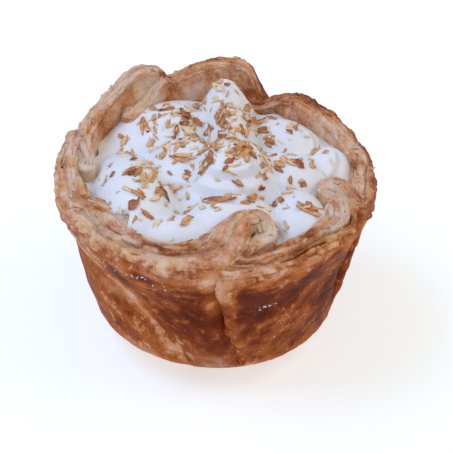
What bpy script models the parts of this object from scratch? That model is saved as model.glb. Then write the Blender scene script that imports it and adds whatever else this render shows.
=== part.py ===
"""A small coconut cream pie: a pleated puff pastry cup filled with whipped cream.

The cup is one sheet of pastry pushed into a deep muffin tin, so its rim is a strip that
folds over itself at each pleat. It is turned as a plain cup and then folded: each point
keeps its place along the strip and through its thickness. The cream fills the cup and
carries the toasted coconut flakes.
"""
import math
import random

import bmesh
import bpy
import numpy as np

MM = 0.001

# ---- driving dimensions of the pastry -------------------------------------------------
RIM_RADIUS = 48.7 * MM          # outside of the rim
RIM_HEIGHT = 53.5 * MM          # nominal height of the cut edge
BASE_RADIUS = 24.2 * MM         # flat part of the underside
HEEL_RADIUS = 37.8 * MM         # outside of the wall just above the rounded heel
HEEL_HEIGHT = 13.5 * MM
HEEL_SOFTNESS = 1.95            # how gradually the heel turns into the wall
BASE_SHIFT = (2.8 * MM, 2.0 * MM)   # the underside sits a little off the rim's centre
WALL_SHIFT = (-0.6 * MM, 0.0)   # and the wall between them leans a little the other way
SHIFT_ENDS = (2.0 * MM, 14.0 * MM)  # that lean starts and is full this far below the rim
WALL_BULGE = 1.2 * MM           # how far the slanting wall bows outwards
FLOOR = 5.0 * MM                # thickness of the bottom
WALL = 4.8 * MM                 # thickness of the baked sheet low on the wall
EDGE_ROUND = 2.4 * MM           # rounding of the cut edge
FOLD_DEPTH = 44.0 * MM          # how far down the wall the pleats run before they close
PUFF_DEPTH = 20.0 * MM          # how far down the extra puff of the cut edge reaches
LAYER_SPACING = 3.1 * MM        # distance between the puffed layers of the cut edge
LAYER_RELIEF = 0.9 * MM         # depth of the grooves between them
RAGGED = 0.35 * MM              # unevenness of the cut edge's height
FOLD_ROUND = 1.5                # rounding of the strip's bends, mm along the strip
BEND_SHARE = 0.9                # most of a bend's radius that the layers inside it may take
DRIFT = ((0.9, 5.0, 0.0), (0.7, 11.0, 1.0))     # wander of the layers: size, waves, start
RAGGED_WAVES = ((37.0, 0.0), (23.0, 2.0), (61.0, 0.5))   # waves round the rim, start
SPAN = 400                      # steps round the strip
FINE = 4                        # samples of the strip for each step
MERGE_SIZE = 0.9 * MM           # grain at which touching plies are merged
BASE_PRESS = 0.35 * MM          # the underside is pressed flat within this height
FLOOR_SHARES = (0.0, 0.45, 0.8)     # rings on the floor, as parts of the base's radius
HEEL_INSIDE = 3.0 * MM          # height of the rounded corner inside
INSIDE_ROWS = 22
EDGE_ROWS = 15
OUTSIDE_ROWS = 26
PASTRY_TRIANGLES = 6200

# One row for each pleat, counter-clockwise from the front: angle of the outer fold, angle
# and radius of the tongue's tip, rise of fold and tip above the nominal rim, thickness of
# the wall that leaves the fold and of the tongue, angle where the seam meets the heel, how
# far the returning ply sinks below the outgoing one, and how far the outgoing one spreads.
PLEATS = (
    (-88.0, -61.0, 26.5, 1.0, 5.5, 6.0, 6.4, -80.0, 4.5, 1.0),
    (-20.0, -8.5, 34.0, 0.5, 2.5, 7.6, 9.4, -26.0, 1.0, 0.3),
    (69.5, 80.0, 39.5, -1.0, -0.5, 5.6, 4.4, 72.0, 0.0, 0.0),
    (112.0, 134.0, 38.0, 11.5, 4.5, 5.6, 4.6, 118.0, 1.0, 0.0),
    (157.0, 176.0, 37.6, 5.0, 2.6, 5.4, 4.2, 164.0, 0.5, 0.0),
    (203.0, 226.0, 33.0, 1.6, -0.8, 7.0, 5.0, 260.0, 0.0, 0.9),
)

# How a pleat runs in and back out along the sheet: part of the way from fold to tip, part
# of the depth from wall to tip, shift from the seam's foot in degrees, part of the sinking,
# and what spreading adds to the depth and to the thickness.
TONGUE = (
    (0.10, 0.32, -1.5, 0.0, 0.38, 1.3), (0.55, 0.70, -0.8, 0.0, 0.30, 0.2),
    (1.00, 1.00, -0.2, 0.3, 0.00, 0.0), (0.98, 0.66, 0.2, 1.0, 0.04, -0.1),
    (0.55, 0.36, 0.8, 1.0, 0.22, -0.2), (0.00, 0.00, 1.5, 0.0, 0.00, 0.0),
)
FOLD_WALL = 0.9                 # the sheet at a pleat's outer fold, against the wall there

# The cut edge between the pleats: angle, rise above the nominal rim, thickness of its
# puffed layers.
EDGE = (
    (-79.0, 1.8, 9.0), (-66.0, 2.4, 10.5), (-54.0, 2.4, 11.5), (-42.0, 2.0, 12.0),
    (-31.0, 1.2, 11.0), (-8.0, 0.8, 9.0), (8.0, 0.8, 6.8), (25.0, 1.0, 7.0),
    (40.0, 3.4, 7.0), (54.0, 4.6, 6.6), (62.0, 2.4, 6.0), (77.0, 12.4, 5.6),
    (90.0, 12.8, 5.6), (100.0, 10.4, 5.6), (107.0, 7.0, 5.4), (119.0, 13.8, 5.6),
    (125.0, 13.6, 5.6), (133.0, 9.6, 5.6), (141.0, 6.8, 5.6), (149.0, 4.8, 5.6),
    (165.0, 5.0, 5.4), (179.0, 3.8, 7.0), (190.0, 1.6, 10.6), (197.0, 0.8, 11.2),
    (213.0, 2.6, 12.2), (224.0, 2.4, 12.6), (236.0, 2.4, 13.4), (250.0, 3.0, 14.0),
    (259.0, 3.8, 15.5), (266.0, 4.2, 18.0),
)
EDGE_CLEAR = (5.0, 4.0)         # rows this near the folds on either side are left out, degrees
SEAM_WIDTH = 1.5                # half width of a seam at the heel, degrees

# ---- driving dimensions of the cream --------------------------------------------------
# Rounded masses of cream: centre x, y, radii along and across, turn in degrees, height of
# the crown above the nominal rim in mm, and how full the mass is (the exponent of its fall).
LOBES = (
    (-24.0, -6.0, 11.5, 22.0, 15.0, 4.5, 1.25),
    (-12.0, 27.0, 20.0, 15.0, 5.0, 6.0, 0.95),
    (-8.0, 8.0, 14.0, 14.0, 0.0, 5.0, 1.10),
    (4.5, 1.0, 11.5, 13.0, 0.0, 10.0, 0.95),
    (3.0, 29.0, 6.0, 7.5, 0.0, 15.5, 0.75),
    (4.5, 21.0, 7.0, 11.0, 0.0, 11.0, 0.85),
    (20.0, 22.0, 14.0, 11.0, -25.0, 3.5, 1.10),
    (34.0, 9.0, 9.0, 11.0, 10.0, 2.0, 1.05),
    (22.0, 4.0, 14.0, 12.0, 0.0, 3.0, 1.10),
    (24.0, -17.0, 9.5, 14.0, 8.0, 3.0, 1.30),
    (5.0, -18.0, 14.0, 10.5, 0.0, 4.5, 1.15),
    (-10.0, -24.0, 15.0, 9.5, -10.0, 1.5, 1.20),
)
CREAM_LEVEL = -3.5 * MM         # cream between the masses, against the nominal rim
CREAM_DISH = 1.0 * MM           # how much that level changes towards the rim
LOBE_DROP = 7.0 * MM            # fall from a mass's crown to its edge
CREAM_BLEND = 0.5 * MM          # softness of the folds between the masses
CREAM_REACH = 44.5 * MM         # the cream is cut back to the pastry inside this radius
# Where it keeps further back, as pleats open there: angle, depth in mm, half width in degrees.
HOLLOWS = (
    (-88.0, 5.0, 7.0), (-20.0, 5.0, 7.0), (69.5, 5.0, 7.0), (112.0, 5.0, 7.0),
    (157.0, 5.0, 7.0), (203.0, 5.0, 7.0), (217.0, 13.0, 10.0),
)
CREAM_SKIRT = 6.5 * MM          # how far down the cream touches the pastry
SKIRT_SLOPE = 4.0 * MM          # height over which it draws back from the pastry below that
PLUG_CLEAR = 1.0 * MM           # free space round the cream further down
GAP = 0.3 * MM                  # free space between the cream and the pastry where they meet
CREAM_RINGS = 36
CREAM_SPAN = 150
PLUG_ROWS = 8
CREAM_TRIANGLES = 2900

# ---- driving dimensions of the coconut ------------------------------------------------
# The largest chips: centre x, y, length, width in mm, turn in degrees.
LARGEST_FLAKES = (
    (1.5, 18.6, 9.7, 3.2, -83.0), (8.0, 0.4, 10.5, 3.6, 45.0), (1.0, -17.0, 10.2, 2.6, -9.0),
    (26.0, -19.5, 8.7, 3.2, -17.0), (10.4, 21.0, 10.5, 2.6, 40.0), (-11.0, 3.6, 7.0, 2.6, -20.0),
    (-24.4, -3.9, 6.0, 4.2, 54.0), (-15.0, 28.0, 5.6, 2.8, 27.0), (-22.0, 21.0, 8.0, 2.0, -80.0),
    (9.8, -16.5, 7.5, 2.2, 63.0), (17.7, -13.3, 7.5, 2.2, -67.0), (22.8, 2.7, 6.5, 2.0, -30.0),
    (-19.0, -5.5, 8.0, 2.0, 78.0), (-27.0, 13.0, 8.0, 2.0, -71.0), (-8.8, -23.9, 5.0, 2.2, 36.0),
    (30.5, 13.0, 7.0, 2.0, 50.0),
)
FLAKE_COUNT = 38                # chips in all
FLAKE_LONG = (4.5, 8.0)         # length of the other chips, mm
FLAKE_SLIM = (0.26, 0.42)       # width of a chip against its length
FLAKE_SPREAD = (34.0, 3.0)      # radius of the strewn area and its shift to the back, mm
FLAKE_SPACE = 4.6               # least distance between two chips' centres, mm
FLAKE_THICK = 1.1 * MM
FLAKE_SINK = 0.25               # part of the thickness that lies in the cream
FLAKE_TILT = 2.0 * MM           # most that one end stands off the cream
FLAKE_SEED = 11


def ease(value, low, high):
    """0 below low, 1 above high, and a smooth S between."""
    t = np.clip((value - low) / (high - low), 0.0, 1.0)
    return t * t * (3.0 - 2.0 * t)


# ---- scene ----------------------------------------------------------------------------
def start_collections():
    """Clear the scene's objects and give one collection for the parts, one for cutters."""
    for item in list(bpy.data.objects):
        bpy.data.objects.remove(item, do_unlink=True)
    made = []
    for name in ("coconut_cream_pie", "cutters"):
        collection = bpy.data.collections.new(name)
        bpy.context.scene.collection.children.link(collection)
        made.append(collection)
    return made


def add_object(name, mesh, collection):
    """A new object for a mesh, in a collection."""
    item = bpy.data.objects.new(name, mesh)
    collection.objects.link(item)
    return item


def bake(item):
    """Replace an object's mesh by its evaluated one and clear its modifiers."""
    bpy.context.view_layer.update()
    depsgraph = bpy.context.evaluated_depsgraph_get()
    mesh = bpy.data.meshes.new_from_object(item.evaluated_get(depsgraph))
    item.modifiers.clear()
    item.data = mesh


def finish_material(name, colour, roughness):
    """A plain Principled material."""
    material = bpy.data.materials.new(name)
    material.use_nodes = True
    shader = material.node_tree.nodes["Principled BSDF"]
    shader.inputs["Base Color"].default_value = (*colour, 1.0)
    shader.inputs["Roughness"].default_value = roughness
    shader.inputs["Metallic"].default_value = 0.0
    return material


def keep_largest(item):
    """Drop every loose scrap: keep the connected piece with the most vertices."""
    work = bmesh.new()
    work.from_mesh(item.data)
    unseen = set(work.verts)
    largest = set()
    while unseen:
        edge = [unseen.pop()]
        piece = set(edge)
        while edge:
            vertex = edge.pop()
            for link in vertex.link_edges:
                other = link.other_vert(vertex)
                if other not in piece:
                    piece.add(other)
                    edge.append(other)
        unseen -= piece
        if len(piece) > len(largest):
            largest = piece
    bmesh.ops.delete(work, geom=[v for v in work.verts if v not in largest], context="VERTS")
    work.to_mesh(item.data)
    work.free()


def split_faces(item):
    """Cut every face into triangles, so that no new edge joins points already joined.

    A face with two such points is cut from its middle, and the others corner to corner.
    """
    work = bmesh.new()
    work.from_mesh(item.data)
    fans = []
    for face in work.faces:
        corners = list(face.verts)
        count = len(corners)
        pairs = [(corners[i], corners[j]) for i in range(count) for j in range(i + 2, count)
                 if (i, j) != (0, count - 1)]
        if any(work.edges.get(pair) for pair in pairs):
            fans.append(face)
    bmesh.ops.poke(work, faces=fans)
    bmesh.ops.triangulate(work, faces=work.faces[:])
    work.to_mesh(item.data)
    work.free()


# ---- the folded strip -----------------------------------------------------------------
def strip_controls():
    """Rows of angle, radius, rise, thickness and foot angle along the folded strip."""
    rows = []
    for index, pleat in enumerate(PLEATS):
        fold, tip, tip_radius, fold_rise, tip_rise, wall, tongue, foot, sink, spread = pleat
        following = PLEATS[(index + 1) % len(PLEATS)]
        turn = 360.0 if following[0] < fold else 0.0
        wall_radius = RIM_RADIUS / MM - wall / 2
        for along, inwards, shift, sunk, wider, thicker in TONGUE:
            radius = wall_radius + (tip_radius - wall_radius) * (inwards + spread * wider)
            rise = fold_rise + (tip_rise - fold_rise) * min(1.0, 2.0 * along) - sink * sunk
            thick = tongue * (1.0 + spread * thicker)
            if along == 0.0:
                thick = wall * FOLD_WALL
            rows.append((fold + along * (tip - fold), radius, rise, thick, foot + shift))
        last = following[0] + turn
        for angle, rise, thick in EDGE:
            for whole in (0.0, 360.0):
                if fold + EDGE_CLEAR[0] < angle + whole < last - EDGE_CLEAR[1]:
                    share = (angle + whole - fold) / (last - fold)
                    run = following[7] + turn - foot - 2.0 * SEAM_WIDTH
                    seat = foot + SEAM_WIDTH + share * run
                    radius = RIM_RADIUS / MM - thick / 2
                    rows.append((angle + whole, radius, rise, thick, seat))
    return np.array(rows)


def round_off(values, width):
    """Closed running average along axis 0 with a bell of the given width in samples."""
    frequency = np.fft.rfftfreq(len(values))
    bell = np.exp(-2.0 * (np.pi * frequency * width) ** 2)
    return np.fft.irfft(np.fft.rfft(values, axis=0) * bell[:, None], n=len(values), axis=0)


def folded_strip():
    """Middle line of the strip at the rim: x, y, rise, thickness and foot angle.

    Straight runs between the control rows, read at even lengths and rounded off.
    """
    rows = strip_controls()
    angle = np.radians(rows[:, 0])
    line = np.column_stack([rows[:, 1] * np.cos(angle), rows[:, 1] * np.sin(angle), rows[:, 2:]])
    line = np.vstack([line, line[0] + (0.0, 0.0, 0.0, 0.0, 360.0)])
    length = np.append(0.0, np.cumsum(np.hypot(*np.diff(line[:, :2], axis=0).T)))
    even = np.linspace(0.0, length[-1], SPAN * FINE, endpoint=False)
    strip = np.column_stack([np.interp(even, length, column) for column in line.T])
    turned = 360.0 * even / length[-1]
    strip[:, 4] -= turned
    strip = round_off(strip, FOLD_ROUND * len(even) / length[-1])
    strip[:, 4] += turned
    strip[:, :4] *= MM
    strip[:, 4] = np.radians(strip[:, 4])
    return strip[::FINE]


def outer_radius(height):
    """Outside of the plain cup: rounded heel, then a slanting wall that bows outwards."""
    heel = np.clip(1.0 - height / HEEL_HEIGHT, 0.0, 1.0)
    low = HEEL_RADIUS - (HEEL_RADIUS - BASE_RADIUS) * heel ** HEEL_SOFTNESS
    share = np.clip((height - HEEL_HEIGHT) / (RIM_HEIGHT - HEEL_HEIGHT), 0.0, 1.0)
    bow = WALL_BULGE * np.sin(np.pi * share)
    return low + (RIM_RADIUS - HEEL_RADIUS) * share + bow


def cup_profile():
    """Half section of the plain cup, from the floor's centre up the inside, over the cut
    edge and down the outside to the middle of the base."""
    section = [(share * BASE_RADIUS, FLOOR) for share in FLOOR_SHARES]
    inside = np.linspace(FLOOR + HEEL_INSIDE, RIM_HEIGHT - EDGE_ROUND, INSIDE_ROWS)
    section += [(float(outer_radius(h)) - WALL, float(h)) for h in inside]
    middle = RIM_RADIUS - WALL / 2
    for turn in np.linspace(0.1, 0.9, EDGE_ROWS):
        across = -math.cos(math.pi * turn) * WALL / 2
        up = EDGE_ROUND * math.sin(math.pi * turn) ** 0.7
        section.append((middle + across, RIM_HEIGHT - EDGE_ROUND + up))
    outside = np.linspace(RIM_HEIGHT - EDGE_ROUND, 0.0, OUTSIDE_ROWS)
    section += [(float(outer_radius(h)), float(h)) for h in outside]
    section += [(FLOOR_SHARES[1] * BASE_RADIUS, 0.0), (0.0, 0.0)]
    return section


def turn_section(name, section, steps, collection):
    """A closed solid turned from a half section with a Screw modifier."""
    mesh = bpy.data.meshes.new(name)
    edges = [(k, k + 1) for k in range(len(section) - 1)]
    mesh.from_pydata([(r, 0.0, z) for r, z in section], edges, [])
    item = add_object(name, mesh, collection)
    screw = item.modifiers.new("turn", "SCREW")
    screw.steps = steps
    screw.render_steps = steps
    screw.use_merge_vertices = True
    screw.merge_threshold = 0.00001
    screw.use_smooth_shade = False
    bake(item)
    return item


def read_points(item):
    """Vertex places of an object as rows."""
    flat = np.empty(len(item.data.vertices) * 3, dtype=np.float32)
    item.data.vertices.foreach_get("co", flat)
    return flat.reshape(-1, 3).astype(float)


def write_points(item, points):
    """Set the vertex places of an object."""
    item.data.vertices.foreach_set("co", points.astype(np.float32).ravel())
    item.data.update()


def fold_points(points):
    """Carry the plain cup's points to the folded sheet.

    A point's angle gives its place along the strip, and its distance from the middle of
    the wall its place through the thickness, which on the inner side of a bend is held
    below the bend's radius. The pleats close towards the base, where the sheet is the
    plain cup again.
    """
    strip = folded_strip()
    radius = np.hypot(points[:, 0], points[:, 1])
    height = points[:, 2]
    column = np.arctan2(points[:, 1], points[:, 0]) / (2.0 * np.pi) * SPAN
    column = np.rint(column).astype(int) % SPAN
    middle = outer_radius(height) - WALL / 2
    close = ease(height, RIM_HEIGHT - FOLD_DEPTH, RIM_HEIGHT - 4.0 * MM)
    puff = ease(height, RIM_HEIGHT - PUFF_DEPTH, RIM_HEIGHT - 3.0 * MM)

    def place(which):
        plain = np.stack([np.cos(strip[which, 4]), np.sin(strip[which, 4])], 1)
        shrink = middle / (RIM_RADIUS - WALL / 2)
        at_rim = strip[which, :2] * shrink[:, None]
        return plain * middle[:, None] * (1.0 - close[:, None]) + at_rim * close[:, None]

    here = place(column)
    ahead = place((column + 1) % SPAN) - here
    behind = here - place((column - 1) % SPAN)
    along = ahead + behind
    step = np.linalg.norm(along, axis=1)
    outwards = np.stack([along[:, 1], -along[:, 0]], 1) / step[:, None]
    bend = ((ahead - behind) * outwards).sum(1) / (step / 2.0) ** 2
    room = BEND_SHARE / np.maximum(np.abs(bend), 1.0)
    through = radius - middle
    through *= 1.0 + (strip[column, 3] / WALL - 1.0) * puff
    held = np.sign(through) * room * np.tanh(np.abs(through) / room)
    through = np.where(through * bend > 0.0, held, through)
    moved = here + outwards * through[:, None]
    heel = ease(height, 0.0, HEEL_HEIGHT)
    moved += np.outer(1.0 - heel, BASE_SHIFT)
    moved += np.outer(heel * ease(RIM_HEIGHT - height, *SHIFT_ENDS), WALL_SHIFT)
    top = ease(height, RIM_HEIGHT - EDGE_ROUND * 1.2, RIM_HEIGHT - EDGE_ROUND * 0.3)
    turn = 2.0 * np.pi * column / SPAN
    drift = sum(size * np.sin(waves * turn + start) for size, waves, start in DRIFT)
    layers = np.cos(2.0 * np.pi * through / LAYER_SPACING + drift)
    first, second, third = (np.sin(waves * turn + start) for waves, start in RAGGED_WAVES)
    relief = top * (LAYER_RELIEF * layers + RAGGED * (first * second + 0.6 * third))
    lift = strip[column, 2] * ease(height, RIM_HEIGHT * 0.35, RIM_HEIGHT) + relief
    return np.column_stack([moved, height + lift])


def make_pastry(collection):
    """The pastry cup, one closed body that stands on a flat underside."""
    item = turn_section("pastry", cup_profile(), SPAN, collection)
    write_points(item, fold_points(read_points(item)))
    merge = item.modifiers.new("merge plies", "REMESH")
    merge.mode = "VOXEL"
    merge.voxel_size = MERGE_SIZE
    bake(item)
    keep_largest(item)
    thin_out(item, PASTRY_TRIANGLES)
    points = read_points(item)
    points[:, 2] = np.where(points[:, 2] < BASE_PRESS, 0.0, points[:, 2])
    write_points(item, points)
    item.data.materials.append(finish_material("baked puff pastry", (0.49, 0.26, 0.12), 0.55))
    return item


# ---- cream ----------------------------------------------------------------------------
def cream_height(x, y):
    """Height of the cream above a point: a soft maximum over the rounded masses."""
    level = CREAM_LEVEL + CREAM_DISH * ((x * x + y * y) / RIM_RADIUS ** 2)
    total = np.exp(level / CREAM_BLEND)
    for cx, cy, across, deep, turn, crown, full in LOBES:
        c = math.cos(math.radians(turn))
        s = math.sin(math.radians(turn))
        u = (c * (x - cx * MM) + s * (y - cy * MM)) / (across * MM)
        v = (c * (y - cy * MM) - s * (x - cx * MM)) / (deep * MM)
        mass = crown * MM - LOBE_DROP * (u * u + v * v) ** full
        total = total + np.exp(mass / CREAM_BLEND)
    return RIM_HEIGHT + CREAM_BLEND * np.log(total)


def cream_section():
    """Half section of the cream before its top is raised: flat top, skirt and plug."""
    section = [(float(r), RIM_HEIGHT) for r in np.linspace(0.0, CREAM_REACH, CREAM_RINGS)]
    shoulder = RIM_HEIGHT - CREAM_SKIRT
    section.append((CREAM_REACH, shoulder))
    for height in np.linspace(shoulder - SKIRT_SLOPE, FLOOR + HEEL_INSIDE, PLUG_ROWS):
        section.append((float(outer_radius(height)) - WALL - PLUG_CLEAR, float(height)))
    section += [(FLOOR_SHARES[2] * BASE_RADIUS, FLOOR + PLUG_CLEAR), (0.0, FLOOR + PLUG_CLEAR)]
    return section


def make_cream(pastry, collection, cutters):
    """The cream: a turned plug inside the cup, its top raised into soft masses, with the
    coconut flakes joined on and the pastry's shape cut away with a small gap."""
    item = turn_section("cream", cream_section(), CREAM_SPAN, collection)
    points = read_points(item)
    around = np.degrees(np.arctan2(points[:, 1], points[:, 0]))
    pull = np.ones(len(points))
    for angle, depth, wide in HOLLOWS:
        off = (around - angle + 180.0) % 360.0 - 180.0
        pull -= depth * MM / CREAM_REACH * np.exp(-(off / wide) ** 2)
    points[:, :2] *= pull[:, None]
    top = points[:, 2] > RIM_HEIGHT - 0.01 * MM
    points[top, 2] = cream_height(points[top, 0], points[top, 1])
    write_points(item, points)
    thin_out(item, CREAM_TRIANGLES)
    strew_flakes(item)
    cutter = add_object("pastry outline", pastry.data.copy(), cutters)
    cutter.hide_render = True
    cutter.display_type = "WIRE"
    swell = cutter.modifiers.new("swell", "DISPLACE")
    swell.strength = GAP * 1.5
    swell.mid_level = 0.0
    bake(cutter)
    cut = item.modifiers.new("cut to pastry", "BOOLEAN")
    cut.operation = "DIFFERENCE"
    cut.object = cutter
    cut.solver = "EXACT"
    bake(item)
    split_faces(item)
    keep_largest(item)
    item.data.materials.append(finish_material("whipped cream", (0.86, 0.85, 0.84), 0.5))
    return item


# ---- coconut --------------------------------------------------------------------------
def flake_rows():
    """Rows of x, y, length, width and turn: the largest chips, then a seeded scatter that
    keeps its distance from every chip before it."""
    draw = random.Random(FLAKE_SEED)
    rows = list(LARGEST_FLAKES)
    reach, shift = FLAKE_SPREAD
    while len(rows) < FLAKE_COUNT:
        around = draw.uniform(0.0, 2.0 * math.pi)
        away = reach * math.sqrt(draw.random())
        x = away * math.cos(around)
        y = shift + away * math.sin(around)
        long = draw.uniform(*FLAKE_LONG)
        wide = long * draw.uniform(*FLAKE_SLIM)
        turn = draw.uniform(-90.0, 90.0)
        if min(math.hypot(x - row[0], y - row[1]) for row in rows) > FLAKE_SPACE:
            rows.append((x, y, long, wide, turn))
    return rows


def strew_flakes(cream):
    """Lay the chips of coconut on the cream and join them to it as one solid."""
    draw = random.Random(FLAKE_SEED + 1)
    collection = bpy.data.collections.new("coconut")
    bpy.context.scene.collection.children.link(collection)
    for row in flake_rows():
        add_flake(row, draw.uniform(0.0, FLAKE_TILT), collection)
    join = cream.modifiers.new("join flakes", "BOOLEAN")
    join.operation = "UNION"
    join.operand_type = "COLLECTION"
    join.collection = collection
    join.solver = "EXACT"
    bake(cream)
    split_faces(cream)
    for item in list(collection.objects):
        bpy.data.objects.remove(item, do_unlink=True)
    bpy.data.collections.remove(collection)


def add_flake(row, tilt, collection):
    """One chip: a tapered strip that follows the cream, with one end standing off it."""
    centre_x, centre_y, long, wide, turn = row
    c = math.cos(math.radians(turn))
    s = math.sin(math.radians(turn))
    work = bmesh.new()
    bmesh.ops.create_grid(work, x_segments=3, y_segments=1, size=0.5)
    for vertex in work.verts:
        along = long * vertex.co.x
        across = wide * vertex.co.y * (1.0 - 1.2 * vertex.co.x ** 2)
        x = (centre_x + c * along - s * across) * MM
        y = (centre_y + s * along + c * across) * MM
        rise = FLAKE_THICK * (1.0 - FLAKE_SINK) + tilt * (vertex.co.x + 0.5) ** 2
        vertex.co = (x, y, float(cream_height(x, y)) + rise)
    mesh = bpy.data.meshes.new("flake")
    work.to_mesh(mesh)
    work.free()
    item = add_object("flake", mesh, collection)
    body = item.modifiers.new("thickness", "SOLIDIFY")
    body.thickness = FLAKE_THICK
    body.offset = -1.0
    bake(item)


def thin_out(item, triangles):
    """Thin a closed mesh to about the given number of triangles."""
    thin = item.modifiers.new("thin", "DECIMATE")
    thin.ratio = triangles / sum(len(face.vertices) - 2 for face in item.data.polygons)
    bake(item)


parts, cutters = start_collections()
pastry_cup = make_pastry(parts)
make_cream(pastry_cup, parts, cutters)
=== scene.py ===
"""A small coconut cream pie: a pleated puff pastry cup, soft cream, toasted coconut flakes."""
import math

import bpy
import numpy as np
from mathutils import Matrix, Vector


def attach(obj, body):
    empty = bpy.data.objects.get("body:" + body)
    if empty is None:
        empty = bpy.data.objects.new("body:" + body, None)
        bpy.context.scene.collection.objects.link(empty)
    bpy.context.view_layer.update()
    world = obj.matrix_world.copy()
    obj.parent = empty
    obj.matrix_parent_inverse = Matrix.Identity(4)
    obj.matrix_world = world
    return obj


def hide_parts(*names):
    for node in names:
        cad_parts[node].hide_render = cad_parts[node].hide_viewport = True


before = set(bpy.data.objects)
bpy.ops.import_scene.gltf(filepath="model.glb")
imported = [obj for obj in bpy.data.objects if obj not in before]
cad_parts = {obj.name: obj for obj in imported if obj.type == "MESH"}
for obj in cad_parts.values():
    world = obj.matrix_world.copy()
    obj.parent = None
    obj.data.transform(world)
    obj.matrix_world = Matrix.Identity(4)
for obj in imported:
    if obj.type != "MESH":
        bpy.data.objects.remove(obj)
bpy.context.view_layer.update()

# ==== Pastry cup: the sheet ===============================================================
# One sheet of puff pastry pushed into a deep round tin. Round the rim it is a strip that
# folds over itself at six pleats, and the pleats close towards the base.
MM = 0.001
RIM_RADIUS = 48.7 * MM
RIM_HEIGHT = 53.5 * MM
BASE_RADIUS = 24.2 * MM
HEEL_RADIUS = 37.8 * MM         # where the rounded heel meets the slanting wall
HEEL_HEIGHT = 13.5 * MM
HEEL_SOFTNESS = 1.95            # exponent of the heel's curve
BASE_SHIFT = (2.8 * MM, 2.0 * MM)
WALL_SHIFT = (-0.6 * MM, 0.0)   # the cup stands a little askew
WALL_BULGE = 1.2 * MM
FLOOR = 5.0 * MM                # thickness of the floor
WALL = 4.8 * MM                 # and of the wall
FOLD_DEPTH = 44.0 * MM          # the pleats close over this depth below the rim,
FOLDED = RIM_HEIGHT - 4.0 * MM  # and above this height they are fully folded
PUFF_DEPTH = 20.0 * MM          # the layers puff apart over this depth,
PUFFED = RIM_HEIGHT - 3.0 * MM  # and above this height they are fully apart
FOLD_ROUND = 1.5                # rounding of the strip's bends, mm along the strip

# One row for each pleat: angle of the outer fold, angle and radius of the tongue's tip, rise
# of fold and tip above the rim, thickness of wall and tongue, angle of the seam's foot, how
# far the returning ply sinks below the outgoing one, and how far the outgoing one spreads.
PLEATS = (
    (-88, -61, 26.5, 1, 5.5, 6, 6.4, -80, 4.5, 1),
    (-20, -8.5, 34, 0.5, 2.5, 7.6, 9.4, -26, 1, 0.3),
    (69.5, 80, 39.5, -1, -0.5, 5.6, 4.4, 72, 0, 0),
    (112, 134, 38, 11.5, 4.5, 5.6, 4.6, 118, 1, 0),
    (157, 176, 37.6, 5, 2.6, 5.4, 4.2, 164, 0.5, 0),
    (203, 226, 33, 1.6, -0.8, 7, 5, 260, 0, 0.9),
)
FOOT = 7                        # column of PLEATS: the seam's foot
SEAM_HALF = 1.5                 # half the angle that a pleat takes up at its foot
CLEAR = (5.0, 4.0)              # degrees after and before a fold without rows of EDGE
# Along a pleat: part of the way from fold to tip, part of the depth, shift of the foot, part
# of the sinking, and what spreading adds to the depth and to the thickness.
TONGUE = (
    (0.10, 0.32, -1.5, 0.0, 0.38, 1.3), (0.55, 0.70, -0.8, 0.0, 0.30, 0.2),
    (1.00, 1.00, -0.2, 0.3, 0.00, 0.0), (0.98, 0.66, 0.2, 1.0, 0.04, -0.1),
    (0.55, 0.36, 0.8, 1.0, 0.22, -0.2), (0.00, 0.00, 1.5, 0.0, 0.00, 0.0),
)
# The cut edge between the pleats: angle, rise above the rim, thickness of the puffed layers.
EDGE = (
    (-79, 1.8, 9), (-66, 2.4, 10.5), (-54, 2.4, 11.5), (-42, 2, 12), (-31, 1.2, 11), (-8, 0.8, 9),
    (8, 0.8, 6.8), (25, 1, 7), (40, 3.4, 7), (54, 4.6, 6.6), (62, 2.4, 6), (77, 12.4, 5.6),
    (90, 12.8, 5.6), (100, 10.4, 5.6), (107, 7, 5.4), (119, 13.8, 5.6), (125, 13.6, 5.6),
    (133, 9.6, 5.6), (141, 6.8, 5.6), (149, 4.8, 5.6), (165, 5, 5.4), (179, 3.8, 7),
    (190, 1.6, 10.6), (197, 0.8, 11.2), (213, 2.6, 12.2), (224, 2.4, 12.6), (236, 2.4, 13.4),
    (250, 3, 14), (259, 3.8, 15.5), (266, 4.2, 18),
)


def ease(value, low, high):
    """0 below low, 1 above high, and the S-curve 3t^2 - 2t^3 between."""
    t = np.clip((value - low) / (high - low), 0.0, 1.0)
    return t * t * (3.0 - 2.0 * t)


def round_off(values, width):
    """Closed running average along axis 0: each frequency f is damped by exp(-2 (pi f w)^2)."""
    frequency = np.fft.rfftfreq(len(values))
    bell = np.exp(-2.0 * (np.pi * frequency * width) ** 2)
    return np.fft.irfft(np.fft.rfft(values, axis=0) * bell[:, None], n=len(values), axis=0)


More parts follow.
